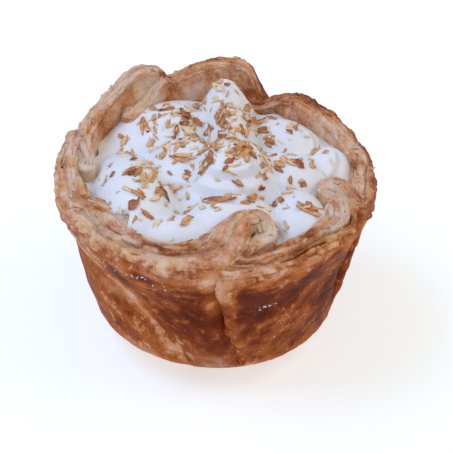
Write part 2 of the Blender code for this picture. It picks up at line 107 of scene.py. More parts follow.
def strip_controls():
    """Rows of angle, radius, rise, thickness and foot angle along the folded strip."""
    rows = []
    for index, pleat in enumerate(PLEATS):
        fold, tip, tip_radius, fold_rise, tip_rise, wall, tongue, foot, sink, spread = pleat
        following = PLEATS[(index + 1) % len(PLEATS)]
        turn = 360.0 if following[0] < fold else 0.0
        wall_radius = RIM_RADIUS / MM - wall / 2
        for along, inwards, shift, sunk, wider, thicker in TONGUE:
            radius = wall_radius + (tip_radius - wall_radius) * (inwards + spread * wider)
            rise = fold_rise + (tip_rise - fold_rise) * min(1.0, 2.0 * along) - sink * sunk
            thick = wall * 0.9 if along == 0.0 else tongue * (1.0 + spread * thicker)
            rows.append((fold + along * (tip - fold), radius, rise, thick, foot + shift))
        last = following[0] + turn
        for angle, rise, thick in EDGE:
            for whole in (0.0, 360.0):
                if fold + CLEAR[0] < angle + whole < last - CLEAR[1]:
                    share = (angle + whole - fold) / (last - fold)
                    reach = following[FOOT] + turn - foot - 2.0 * SEAM_HALF
                    seat = foot + SEAM_HALF + share * reach
                    radius = RIM_RADIUS / MM - thick / 2
                    rows.append((angle + whole, radius, rise, thick, seat))
    return np.array(rows)


def folded_strip(columns):
    """Middle line of the sheet at the rim, as rows of x, y, rise, thickness and foot angle:
    straight runs between the controls, read at even lengths and rounded off."""
    rows = strip_controls()
    angle = np.radians(rows[:, 0])
    line = np.column_stack([rows[:, 1] * np.cos(angle), rows[:, 1] * np.sin(angle), rows[:, 2:]])
    line = np.vstack([line, line[0] + (0.0, 0.0, 0.0, 0.0, 360.0)])
    length = np.append(0.0, np.cumsum(np.hypot(*np.diff(line[:, :2], axis=0).T)))
    even = np.linspace(0.0, length[-1], columns, endpoint=False)
    strip = np.column_stack([np.interp(even, length, column) for column in line.T])
    turned = 360.0 * even / length[-1]
    strip[:, 4] -= turned
    strip = round_off(strip, FOLD_ROUND * columns / length[-1])
    strip[:, 4] += turned
    strip[:, :4] *= MM
    return strip


def outer_radius(height):
    """Outside of the plain cup: heel with a fall of (1 - h / H)^1.95, then a slanting wall that
    bows outwards by a half sine."""
    heel = np.clip(1.0 - height / HEEL_HEIGHT, 0.0, 1.0)
    low = HEEL_RADIUS - (HEEL_RADIUS - BASE_RADIUS) * heel ** HEEL_SOFTNESS
    share = np.clip((height - HEEL_HEIGHT) / (RIM_HEIGHT - HEEL_HEIGHT), 0.0, 1.0)
    return low + (RIM_RADIUS - HEEL_RADIUS) * share + WALL_BULGE * np.sin(np.pi * share)


def lay_sheet(strip, height, through, inset=0.0):
    """Points of the folded sheet on a grid of columns along the strip and rows of the section.

    A point stands at the sheet's middle line, moved by `through` along the normal, which grows
    as the sheet puffs towards the rim, and then back by `inset`. The middle line is the plain
    circle low down and the folded strip at the rim. On the inner side of a bend of radius R
    the distance is held below R as 0.9 R tanh(t / 0.9 R), so that the layers crowd there and
    never cross.
    """
    height, through = np.broadcast_arrays(height, through)
    middle = outer_radius(height) - WALL / 2
    close = ease(height, RIM_HEIGHT - FOLD_DEPTH, FOLDED)
    foot = np.radians(strip[:, 4])
    plain = np.stack([np.cos(foot), np.sin(foot)], 1)[:, None, :]
    at_rim = strip[:, None, :2] / (RIM_RADIUS - WALL / 2)
    place = middle[..., None] * (plain * (1.0 - close[..., None]) + at_rim * close[..., None])
    ahead = np.roll(place, -1, 0) - place
    behind = place - np.roll(place, 1, 0)
    along = ahead + behind
    step = np.linalg.norm(along, axis=2, keepdims=True)
    along = along / step
    outwards = np.stack([along[..., 1], -along[..., 0]], -1)

    # the layers' distances, held back on the inner side of each bend
    bend = ((ahead - behind) * outwards).sum(2) / (step[..., 0] / 2) ** 2
    room = 0.9 / np.maximum(np.abs(bend), 1.0)
    puff = ease(height, RIM_HEIGHT - PUFF_DEPTH, PUFFED)
    away = through * (1.0 + (strip[:, 3, None] / WALL - 1.0) * puff) - inset
    held = np.sign(away) * room * np.tanh(np.abs(away) / room)
    away = np.where(away * bend > 0.0, held, away)
    flat = place + outwards * away[..., None]

    # the cup's slight lean, and the rise of folds and edge above the rim
    heel = ease(height, 0.0, HEEL_HEIGHT)
    wall = heel * ease(RIM_HEIGHT - height, 2.0 * MM, 14.0 * MM)
    flat = flat + (1.0 - heel)[..., None] * np.array(BASE_SHIFT)
    flat = flat + wall[..., None] * np.array(WALL_SHIFT)
    lift = strip[:, 2, None] * ease(height, RIM_HEIGHT * 0.35, RIM_HEIGHT)
    return np.dstack([flat, height + lift])


def grid_normals(points, ring):
    """Unit normals of a grid of points: the cross product of its two directions. Columns close
    on themselves, and so do the rows where `ring` is true."""
    along = np.roll(points, -1, 0) - np.roll(points, 1, 0)
    if ring:
        down = np.roll(points, -1, 1) - np.roll(points, 1, 1)
    else:
        down = np.gradient(points, axis=1)
    normal = np.cross(along, down)
    return normal / np.maximum(np.linalg.norm(normal, axis=2, keepdims=True), 1e-12)


def unevenness(columns, rows, along, down, seed):
    """A random field that closes on itself: noise blurred over `along` columns and `down` rows,
    scaled so that most of it lies between -1 and 1."""
    noise = np.random.default_rng(seed).standard_normal((columns, rows))
    across = np.fft.fftfreq(columns)[:, None] * along
    upright = np.fft.rfftfreq(rows)[None, :] * down
    bell = np.exp(-2.0 * np.pi ** 2 * 0.1 * (across ** 2 + upright ** 2))
    field = np.fft.irfft2(np.fft.rfft2(noise) * bell, s=(columns, rows))
    return 0.5 * field / field.std()


def read_field(field, a, b):
    """A closed field at fractional places: the weighted mean of its four neighbours."""
    i = np.floor(a).astype(int)
    j = np.floor(b).astype(int)
    s = a - i
    t = b - j
    columns, rows = field.shape
    near = field[i % columns, j % rows] * (1.0 - s) + field[(i + 1) % columns, j % rows] * s
    j = j + 1
    far = field[i % columns, j % rows] * (1.0 - s) + field[(i + 1) % columns, j % rows] * s
    return near * (1.0 - t) + far * t


def grid_faces(columns, rows, ring):
    """Four corners of each face of a grid that closes along its columns, and along its rows
    where `ring` is true."""
    index = np.arange(columns * rows).reshape(columns, rows)
    beside = np.roll(index, -1, 0)
    below = np.roll(index, -1, 1)
    across = np.roll(below, -1, 0)
    quads = np.stack([index, beside, across, below], -1)
    if not ring:
        quads = quads[:, :-1]
    return quads.reshape(-1, 4)


def add_piece(name, points, faces, fields, material, smooth=True):
    """A mesh from rows of points and a list of face arrays, with one number a point for each
    named field."""
    mesh = bpy.data.meshes.new(name)
    corners = np.concatenate([block.ravel() for block in faces])
    sizes = np.concatenate([np.full(len(block), block.shape[1]) for block in faces])
    mesh.vertices.add(len(points))
    mesh.vertices.foreach_set("co", points.astype(np.float32).ravel())
    mesh.loops.add(len(corners))
    mesh.loops.foreach_set("vertex_index", corners.astype(np.int32))
    mesh.polygons.add(len(sizes))
    mesh.polygons.foreach_set("loop_start", (np.cumsum(sizes) - sizes).astype(np.int32))
    mesh.update(calc_edges=True)
    mesh.validate()
    if smooth:
        mesh.shade_smooth()
    for field, values in fields.items():
        attribute = mesh.attributes.new(field, "FLOAT", "POINT")
        attribute.data.foreach_set("value", np.ravel(values).astype(np.float32))
    mesh.materials.append(material)
    piece = bpy.data.objects.new(name, mesh)
    bpy.context.scene.collection.objects.link(piece)
    return piece


# ==== Pastry: its finish ==================================================================
# Puff pastry baked in a buttered tin. Where it touched the tin it is deep brown and slightly
# glossy, and where it puffed free it is straw-gold, matt and floury.
def linear(code):
    """Linear RGBA of an sRGB hex value."""
    parts = [int(code[i:i + 2], 16) / 255.0 for i in (1, 3, 5)]
    return [c / 12.92 if c <= 0.04045 else ((c + 0.055) / 1.055) ** 2.4 for c in parts] + [1.0]


def connect(tree, node, inputs):
    """Give a node's inputs their values, or link them where a socket is given."""
    for key, value in inputs.items():
        if isinstance(value, bpy.types.NodeSocket):
            tree.links.new(value, node.inputs[key])
        else:
            node.inputs[key].default_value = value


def add(tree, kind, inputs=None, stops=None, out=0, **settings):
    """The output of a new node with its settings, its input values or links, and a ramp's
    stops."""
    node = tree.nodes.new("ShaderNode" + kind)
    for key, value in settings.items():
        setattr(node, key, value)
    connect(tree, node, inputs or {})
    if stops:
        ramp = node.color_ramp
        for _ in stops[2:]:
            ramp.elements.new(0.5)
        for element, (place, colour) in zip(ramp.elements, stops):
            element.position = place
            element.color = linear(colour)
    return node.outputs[out]


def new_material(name):
    """A material with only its Principled BSDF and output; gives its tree and shader too."""
    material = bpy.data.materials.new(name)
    material.use_nodes = True
    return material, material.node_tree, material.node_tree.nodes["Principled BSDF"]


PER_MM = 1.0 / MM               # noise scale for features of one millimetre
MOTTLING = ((7.0, 3.0), (2.2, 4.0), (0.7, 3.0))     # sizes in mm and detail of the spots

# Baking colours, from dough that stayed pale to sugar that nearly burnt: against the tin, where
# butter fried it, and free of the tin, where it only dried.
FRIED = (
    (0.00, "#dccdbe"), (0.20, "#d8baa4"), (0.38, "#c9926e"), (0.55, "#a95f2d"),
    (0.74, "#732e0c"), (1.00, "#451808"),
)
DRIED = (
    (0.00, "#dccec2"), (0.20, "#d8bca7"), (0.38, "#ca956e"), (0.55, "#a46135"),
    (0.74, "#6f3013"), (1.00, "#43180c"),
)


def baked_pastry(name, gloss, matt, ior, layered):
    """Pastry coloured by the field `browned`, broken up by mottling at 7, 2.2 and 0.7 mm, more
    golden in patches of 4.5 mm where butter soaked in, yellower by the field `ochre`, and
    dark red-brown where a field of painted shade marks crevices and gaps. The brown parts are the
    glossy ones.
    Layered pastry has fine strata too, from noise squeezed along the field `leaf`. The rest has
    paler flecks of 3.2 mm where small blisters stood off the tin."""
    material, tree, shader = new_material(name)
    place = add(tree, "TexCoord", out="Object")
    total = add(tree, "Attribute", attribute_name="browned", out="Fac")
    weights = (0.36, 0.42, 0.36) if layered else (0.30, 0.24, 0.22)
    for (size, detail), weight in zip(MOTTLING, weights):
        spots = add(tree, "TexNoise", {"Vector": place, "Scale": PER_MM / size, "Detail": detail})
        share = add(tree, "Math", {0: spots, 1: 0.5}, operation="SUBTRACT")
        total = add(tree, "Math", {0: share, 1: weight, 2: total}, operation="MULTIPLY_ADD")
    height = add(tree, "TexNoise", {"Vector": place, "Scale": PER_MM / 0.7, "Detail": 5.0,
                                    "Roughness": 0.55})
    if layered:
        leaf = add(tree, "Attribute", attribute_name="leaf", out="Fac")
        stretch = add(tree, "CombineXYZ", {"X": leaf, "Y": leaf, "Z": leaf})
        squeezed = add(tree, "VectorMath", {0: place, 1: (PER_MM / 3.5,) * 3, 2: stretch},
                       operation="MULTIPLY_ADD")
        strata = add(tree, "TexNoise", {"Vector": squeezed, "Scale": 1.0, "Detail": 3.0,
                                        "Roughness": 0.65})
        share = add(tree, "Math", {0: strata, 1: 0.5}, operation="SUBTRACT")
        total = add(tree, "Math", {0: share, 1: -0.45, 2: total}, operation="MULTIPLY_ADD")
        height = add(tree, "Math", {0: strata, 1: 1.6, 2: height}, operation="MULTIPLY_ADD")
    else:
        flecks = add(tree, "TexNoise", {"Vector": place, "Scale": PER_MM / 3.2, "Detail": 5.0,
                                        "Roughness": 0.7})
        paler = add(tree, "MapRange", {"Value": flecks, "From Min": 0.55, "From Max": 0.64,
                                       "To Min": 0.03, "To Max": -0.16})
        total = add(tree, "Math", {0: total, 1: paler}, operation="ADD")
    colour = add(tree, "ValToRGB", {"Fac": total}, DRIED if layered else FRIED)
    butter = add(tree, "TexNoise", {"Vector": place, "Scale": PER_MM / 4.5, "Detail": 4.0})
    golden = add(tree, "ValToRGB", {"Fac": butter}, ((0.37, "#fbf7ff"), (0.63, "#fff6e2")))
    ochre = add(tree, "Attribute", attribute_name="ochre", out="Fac")
    painted_crevice_shade = add(tree, "Attribute", attribute_name="painted_crevice_shade", out="Fac")
    # painted shade: a dark red-brown is mixed in by the shade field of crevices, gaps and cracks
    for share, tint, blend in ((1.0, golden, "MULTIPLY"), (ochre, linear("#faf8dc"), "MULTIPLY"),
                               (painted_crevice_shade, linear("#7f3d1a"), "MIX")):
        colour = add(tree, "Mix", {"Factor": share, "A": colour, "B": tint}, out="Result",
                     data_type="RGBA", blend_type=blend)
    rough = add(tree, "MapRange", {"Value": total, "From Min": 0.3, "From Max": 0.7,
                                   "To Min": matt, "To Max": gloss})
    connect(tree, shader, {
        "Base Color": colour, "Roughness": rough, "IOR": ior, "Subsurface Weight": 0.18,
        "Subsurface Radius": (1.0, 0.5, 0.25), "Subsurface Scale": 1.4 * MM,
        "Normal": add(tree, "Bump", {"Height": height, "Distance": 0.45 * MM, "Strength": 0.8}),
    })
    return material


# ==== Pastry: the wall ====================================================================
# The sheet below the rim, pressed against the tin: smooth, blotched and slightly blistered.
# Its top runs on inside the puffed rim, which hides it.
WALL_COLUMNS = 660
WALL_TOP = RIM_HEIGHT - 2.0 * MM
WALL_TUCK = 1.1 * MM            # it draws in by this under the rim
OUTSIDE_STEP = 0.55 * MM        # between two rows of the grid
SKIRT = (                       # how far the puffed rim hangs over the wall: angle, mm
    (-180, 7), (-155, 6), (-125, 3.8), (-112, 5), (-100, 5.6), (-88, 4), (-75, 3), (-50, 3),
    (-20, 4), (20, 5), (60, 5), (110, 6), (150, 6), (180, 7),
)
# Blotches where the wall browned more or stayed paler, and one at the far right that is partly
# painted shade: angle, height, half length and half width in mm, slope in degrees, change in
# browning.
BLOTCHES = (
    (-128.8, 45.5, 8, 4.5, -70, 0.14), (-105, 48, 8, 3.4, -12, 0.16),
    (-101, 35, 10, 7, -35, 0.12), (-80.5, 47.5, 7, 4.5, 0, 0.12), (-75.5, 35.5, 8, 6, 40, 0.12),
    (-55, 46, 10, 4, 10, 0.14), (-62, 38, 9, 4, 45, 0.12), (-119, 42, 6.5, 2.8, -40, -0.2),
    (-100.5, 42.8, 4, 1.2, -8, -0.2), (-92.5, 49.5, 2.5, 4, 0, -0.26),
    (-108, 37.3, 3, 1.6, -30, -0.18), (-92.5, 38.5, 2.4, 6, 0, -0.22),
    (-43, 41, 3.5, 7, 0, -0.14), (-128, 30, 20, 2, -42, -0.18), (-146, 26, 18, 9, -60, -0.12),
    # the blotch at -30 degrees darkens the far right, partly as browning and partly as painted
    # shade
    (-158, 40, 12, 10, -60, -0.06), (-60, 22, 14, 5, 45, -0.06), (-30, 36, 14, 8, 70, 0.16),
    (-125, 40, 16, 1.6, -38, -0.16), (-70, 30, 7, 1.6, 40, -0.16), (-58, 33, 8, 1.4, 50, -0.14),
    (-50, 26, 8, 1.6, 40, -0.12), (-66, 43, 5, 2, 30, -0.12), (-100, 10, 24, 9, -20, -0.18),
    (10, 40, 14, 9, 20, 0.12), (60, 36, 16, 10, -20, 0.12), (105, 42, 14, 8, 15, 0.12),
    (150, 30, 18, 10, -30, -0.14), (30, 20, 18, 6, 40, -0.12), (180, 44, 12, 7, 0, 0.1),
)
GATHER_HEIGHT = 9.0 * MM        # the sheet's gathers run together at the seams' feet,
GATHER_REACH = 34.0 * MM        # show this far from a seam,
GATHER_TURN = 30.0              # and change with this many cells a radian
GATHER_CELL = 3.5 * MM          # and a cell this long outwards
EDGE_WIDTH = 2.2 * MM           # of the sheet's raised edge beside each seam
SWAY = 1.3 * MM                 # most of the wall's wander round the axis


def bearing(points):
    """Angle of points round the pie's axis, in degrees."""
    return np.degrees(np.arctan2(points[..., 1], points[..., 0]))


def angle_from(start, angle):
    """Signed angle from a start, between -180 and 180 degrees."""
    return (angle - start + 180.0) % 360.0 - 180.0


def along_axes(x, y, turn):
    """Lengths along two axes turned by an angle: c x + s y and c y - s x."""
    c = math.cos(math.radians(turn))
    s = math.sin(math.radians(turn))
    return c * x + s * y, c * y - s * x


def read_round(table, angle):
    """A table's values at angles round the rim, on straight lines between its rows."""
    return np.interp(angle, *np.array(table).T)


def gathers(angle, height):
    """Unevenness in rays from the foot of each seam: a random field in polar coordinates about
    the foot, long outwards and narrow across, weighted by closeness to the seam."""
    total = np.zeros_like(height + angle)
    for index, pleat in enumerate(PLEATS):
        ray = unevenness(128, 64, 4, 4, 40 + index)
        off = np.radians(angle_from(pleat[FOOT], angle)) * RIM_RADIUS
        rise = height - GATHER_HEIGHT
        spin = np.arctan2(rise, off)
        away = np.hypot(rise, off)
        weight = np.exp(-(off / GATHER_REACH) ** 2)
        total = total + weight * read_field(ray, GATHER_TURN * spin + 64.0, away / GATHER_CELL)
    return total


def pleat_edges(strip, step):
    """1 along the raised edge of the sheet beside each seam's foot, a bell across it. The edge
    of the front pleat stands out most."""
    total = np.zeros((len(strip), 1))
    for index, pleat in enumerate(PLEATS):
        first = np.argmin(np.abs(angle_from(pleat[FOOT] + SEAM_HALF, strip[:, 4])))
        off = (np.arange(len(strip))[:, None] - first) * step - 2.0 * MM
        total = total + (0.35 if index else 1.0) * np.exp(-(off / EDGE_WIDTH) ** 2)
    return total


def blotches(points, place, around):
    """Sum of the blotches' changes in browning, change exp(-u^2 - v^2) for each, in its own
    turned and stretched axes."""
    total = np.zeros_like(place)
    for at, high, long, wide, slope, change in BLOTCHES:
        off = np.radians(angle_from(at, place)) * around
        u, v = along_axes(off, points[..., 2] - high * MM, slope)
        total = total + change * np.exp(-(u / (long * MM)) ** 2 - (v / (wide * MM)) ** 2)
    return total


def wall_grid(strip, hem):
    """The plain wall: points, heights of their rows, and 1 for the rows that show. The rows run
    over the base from its middle, up the heel and the outside to the hidden top, and down the
    inside and over the floor."""
    parts = (   # heights, side of the sheet, part of the radius, shown
        (np.zeros(14), 1, np.linspace(0.02, 0.97, 14), 0),
        (np.linspace(0.0, 1.0, 22, endpoint=False) ** 1.6 * HEEL_HEIGHT, 1, 1, 1),
        (np.arange(HEEL_HEIGHT, WALL_TOP, OUTSIDE_STEP), 1, 1, 1),
        (np.linspace(WALL_TOP, FLOOR + 3.0 * MM, 16), -1, 1, 0),
        (np.full(6, FLOOR), -1, np.linspace(0.97, 0.02, 6), 0),
    )
    rows = np.hstack([np.stack(np.broadcast_arrays(*part)) for part in parts])
    height, side, pull, shown = rows[:, None, :]
    tuck = np.where(side > 0.0, ease(height, hem, hem + 4.0 * MM),
                    -ease(height, RIM_HEIGHT - 16.0 * MM, RIM_HEIGHT - 12.0 * MM))
    points = lay_sheet(strip, height, 0.5 * WALL * side, WALL_TUCK * tuck)
    centre = np.array(BASE_SHIFT)
    points[..., :2] = centre + (points[..., :2] - centre) * pull[..., None]
    return points, height, shown


def wall_surface():
    """Grid of the wall with its fields. Its relief in mm is made of hollows where the sheet
    stood off the tin, gathers, crumples and the raised edge of each pleat, and it dies away
    where the folds squeeze the sheet. Then the wall sways a little round the axis."""
    strip = folded_strip(WALL_COLUMNS)
    hem = RIM_HEIGHT - read_round(SKIRT, bearing(strip)[:, None]) * MM
    points, height, shown = wall_grid(strip, hem)
    rows = points.shape[1]
    place = bearing(points)
    ray = gathers(place, points[..., 2])
    hollow = ease(unevenness(WALL_COLUMNS, rows, 20, 12, 1) + 0.5 * ray, 0.3, 1.5)
    crumple = unevenness(WALL_COLUMNS, rows, 8, 6, 2)
    fine = unevenness(WALL_COLUMNS, rows, 3.0, 2.5, 3)
    step = np.hypot(*(np.roll(strip[:, :2], -1, 0) - strip[:, :2]).T).mean()
    edge = pleat_edges(strip, step) * ease(height, 8.0 * MM, 20.0 * MM)
    spacing = np.linalg.norm(np.roll(points, -1, 0) - points, axis=2)
    free = ease(spacing, 0.1 * step, 0.6 * step)
    relief = (-0.55 * hollow + 0.10 * ray + 0.16 * crumple + 0.09 * fine) * free
    relief = relief + edge * (0.25 + 0.30 * fine + 0.25 * crumple)
    relief = relief * shown * ease(height, 0.3 * MM, 6.0 * MM)
    points = points + grid_normals(points, False) * (relief * MM)[..., None]
    sway = unevenness(WALL_COLUMNS, rows, 60, 14, 4) * shown
    sway = sway * ease(height, 4.0 * MM, 16.0 * MM) * ease(RIM_HEIGHT - height, 4.0 * MM, 14.0 * MM)
    spin = sway * SWAY / outer_radius(height)
    points[..., :2] = np.stack([points[..., 0] - spin * points[..., 1],
                                points[..., 1] + spin * points[..., 0]], -1)

    # brownest against the tin, and paler in hollows and seams, under the rim and at the base
    around = np.hypot(points[..., 0], points[..., 1])
    valley = ease(outer_radius(height) - around, 3.5 * MM, 7.0 * MM)
    ragged = height + (3.0 * crumple + 1.5 * fine) * MM
    shoulder = ease(ragged, hem - 9.0 * MM, hem + 0.5 * MM)
    browned = 0.71 - 0.15 * hollow - 0.05 * ray - 0.08 * crumple
    browned = browned - 0.12 * edge - 0.30 * valley - 0.24 * shoulder
    browned = browned + blotches(points, place, around)
    browned = browned - 0.16 * ease(-points[..., 2], -8.0 * MM, -1.0 * MM)
    browned = browned - 0.15 * ease(-points[..., 2], -22.0 * MM, -6.0 * MM)
    # painted shade: dark red-brown in the cracks where the folds squeeze the sheet together
    painted_crack_shade = 0.7 * (1.0 - free) * shown * ease(height, 5.0 * MM, 14.0 * MM)
    return points, {"browned": np.clip(browned, 0.06, 0.95), "painted_crevice_shade": painted_crack_shade}


def close_ends(points, low, high):
    """Points and faces of a grid whose columns start at one point and end at another, with a
    fan of triangles round each."""
    columns, rows = points.shape[:2]
    first = np.arange(columns) * rows
    after = np.roll(first, -1)
    under = np.stack([np.full(columns, columns * rows), after, first], -1)
    over = np.stack([np.full(columns, columns * rows + 1), first + rows - 1, after + rows - 1], -1)
    flat = np.vstack([points.reshape(-1, 3), low, high])
    return flat, [grid_faces(columns, rows, False), under, over]


def add_cup_wall(points, fields):
    """The wall piece, closed by a point under the base and one on the floor."""
    flat, faces = close_ends(points, *points[:, [0, -1]].mean(0))
    flat[:, 2] = np.maximum(flat[:, 2], 0.0)
    fields = {name: np.append(values.ravel(), (0.5, 0.3)) for name, values in fields.items()}
    finish = baked_pastry("buttered puff pastry, baked against the tin", gloss=0.48, matt=0.70,
                          ior=1.14, layered=False)
    return add_piece("pastry_wall", flat, faces, fields, finish)


wall_points, wall_fields = wall_surface()
cup_wall = add_cup_wall(wall_points, wall_fields)
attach(cup_wall, "root")
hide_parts("pastry")

# ==== Pastry: the rim =====================================================================
# The cut edge of the same sheet. Its layers puffed apart in the oven into rounded leaves
# with crevices between them, so it is thicker than the wall and overhangs it.
RIM_COLUMNS = 1040
RIM_ROWS = (18, 60, 16, 4)      # up the skirt, over the top, down the inside and back
HEM = 1.5 * MM                  # the skirt's lowest stretch, turned in against the wall
HEM_RAGGED = 1.3 * MM           # how unevenly it ends
INNER_FOOT = RIM_HEIGHT - 13.0 * MM
LEAF = 1.45                     # spacing of the baked layers, mm
LEAVES = 16                     # the most of them through the sheet
LEAF_RELIEF = 1.1 * MM          # depth of the crevices between them
CRUST = 0.16                    # the outer part of the edge is crust, the rest shows layers
# Wider gaps where leaves parted: angles from and to, place through the sheet (-0.5 inside,
# 0.5 outside), half width and depth in mm. Their ends fade over GAP_FADE degrees.
GAP_FADE = 3.5
GAPS = (
    (-129, -119, 0, 0.55, 3.4), (-114, -102, 0.05, 0.42, 2.8), (-105, -94, -0.1, 0.5, 3.6),
    (-124, -117, 0.26, 0.3, 1.2), (-140, -130, -0.16, 0.34, 2.4), (-121, -110, -0.26, 0.34, 2.2),
    (-69, -46, 0.24, 0.36, 2.8), (-62, -36, 0.05, 0.34, 2.6), (-52, -38, -0.14, 0.3, 2.2),
    (172, 190, 0.14, 0.32, 1.8), (182, 199, -0.12, 0.3, 1.6), (-13, 8, 0.02, 0.26, 0.8),
    (-37, -26, 0.08, 0.42, 2.4),
)
# How far the layers parted round the rim: angle, part of the full relief.
CRISP = (
    (-180, 0.75), (-145, 1.3), (-35, 1.3), (-5, 0.75), (30, 0.55), (150, 0.5), (180, 0.7),
)
# How much more the outermost crust browned: angle, change.
CRUST_TAN = (
    (-180, 0.06), (-150, 0.16), (-125, 0.22), (-90, 0.12), (-60, 0), (-40, 0.1), (-20, 0.22),
    (0, 0.27), (18, 0.38), (62, 0.42), (74, 0.28), (100, 0.26), (115, 0.14), (150, 0.1),
    (180, 0.06),
)
# Where the rim browned more or stayed paler: x, y, z and radius in mm, change in browning.
RIM_PATCHES = (
    (-16, 37.5, 60, 4.5, 0.17), (-9, 41.5, 61, 4.5, 0.14), (-4, 41.5, 58, 3.5, -0.16),
    (-22, 35.5, 62.5, 5.5, -0.16), (23, 39, 56, 6, 0.3), (12, 45, 56, 6, 0.3),
    (33, 34, 54, 6, 0.24), (-36, 22, 53, 8, 0.1), (20, -38, 56, 8, 0.1), (24, -33, 56, 5, 0.16),
    (41, -11, 55, 2.5, 0.25), (7, -28, 58, 4, 0.14), (15.5, -28.5, 54, 5, -0.18),
    (34, 22, 52, 7, -0.1), (2, -40, 57, 4, 0.1), (-26, -19.5, 53, 6, -0.3),
    (-24, -30, 55, 3, 0.18), (-42, 8, 55, 6, -0.06), (46, 0, 50, 8, 0.18), (-38, 7, 56, 9, -0.16),
    (-35.5, 5, 55, 5.5, -0.24), (-37.5, 0, 50, 5, -0.2), (36, -7, 56, 6, -0.12),
    (-34, 16, 53, 7, -0.14), (-35, -30, 56, 6, 0.05), (24, -40, 55, 8, 0.1),
    (40, 11, 55, 7, 0.06), (0, 44, 66, 7, 0.1), (-16, 42, 66, 6, 0.06), (14.5, -32, 56, 5, -0.12),
    (1, -35, 57, 2.2, 0.2), (4, -31.5, 58, 2.2, 0.2), (-20, 31.5, 61, 7, -0.16),
    (35, -14, 57, 6, -0.08), (-34, 17, 51, 5, -0.1),
)
# Where a tongue bends back on itself and its inner face stayed smooth: x, y, z, radius in mm.
SMOOTH = (13.0, -32.0, 56.5, 6.0)


def rim_section(thick, skirt):
    """Rows of the puffed edge's section at each column: heights, shares of the sheet (0.5
    outside, -0.5 inside), how far a row is on the top, and 1 for the rows that show. They run
    up the skirt, over the top where the share is half of cos^0.8 and the height falls off as
    1 - sin^0.8, down the inside and, hidden, back through the wall."""
    outer_round = 0.42 * thick + 0.4 * MM
    inner_round = 0.26 * thick + 0.4 * MM
    up = np.linspace(0.0, 1.0, RIM_ROWS[0], endpoint=False)[None, :]
    turn = np.linspace(0.0, np.pi, RIM_ROWS[1])[None, :]
    down = np.linspace(0.0, 1.0, RIM_ROWS[2] + 1)[None, 1:]
    back = np.linspace(0.0, 1.0, RIM_ROWS[3] + 2)[None, 1:-1]
    skirt_foot = RIM_HEIGHT - np.maximum(skirt + HEM, outer_round + 0.6 * MM)
    height = np.hstack([
        skirt_foot + (RIM_HEIGHT - outer_round - skirt_foot) * up,
        RIM_HEIGHT - np.where(turn < np.pi / 2, outer_round, inner_round)
        * (1.0 - np.abs(np.sin(turn)) ** 0.8),
        RIM_HEIGHT - inner_round - (RIM_HEIGHT - inner_round - INNER_FOOT) * down,
        INNER_FOOT + (skirt_foot - INNER_FOOT) * back,
    ])
    share = np.hstack([
        np.full_like(up, 0.5), 0.5 * np.sign(np.cos(turn)) * np.abs(np.cos(turn)) ** 0.8,
        np.full_like(down, -0.5), -0.5 + 0.6 * back,
    ])
    top = np.hstack([0.0 * up, np.sin(turn) ** 0.5, 0.0 * down, 0.0 * back])
    shown = np.ones_like(top)
    shown[:, sum(RIM_ROWS[:3]) - 4:] = 0.0
    return height, np.broadcast_to(share, height.shape), top, shown


def gap_depths(angle, share, thick, wander):
    """Depth of the wider gaps: each deep exp(-|off / half|^3) across the sheet, fading at its
    ends."""
    total = np.zeros(share.shape)
    for begin, end, place, half, deep in GAPS:
        within = ease(angle, begin, begin + GAP_FADE) * ease(-angle, -end, GAP_FADE - end)
        away = (share - place - 0.06 * wander) * thick / (half * MM)
        total = np.maximum(total, within * deep * MM * np.exp(-np.abs(away) ** 3))
    return total


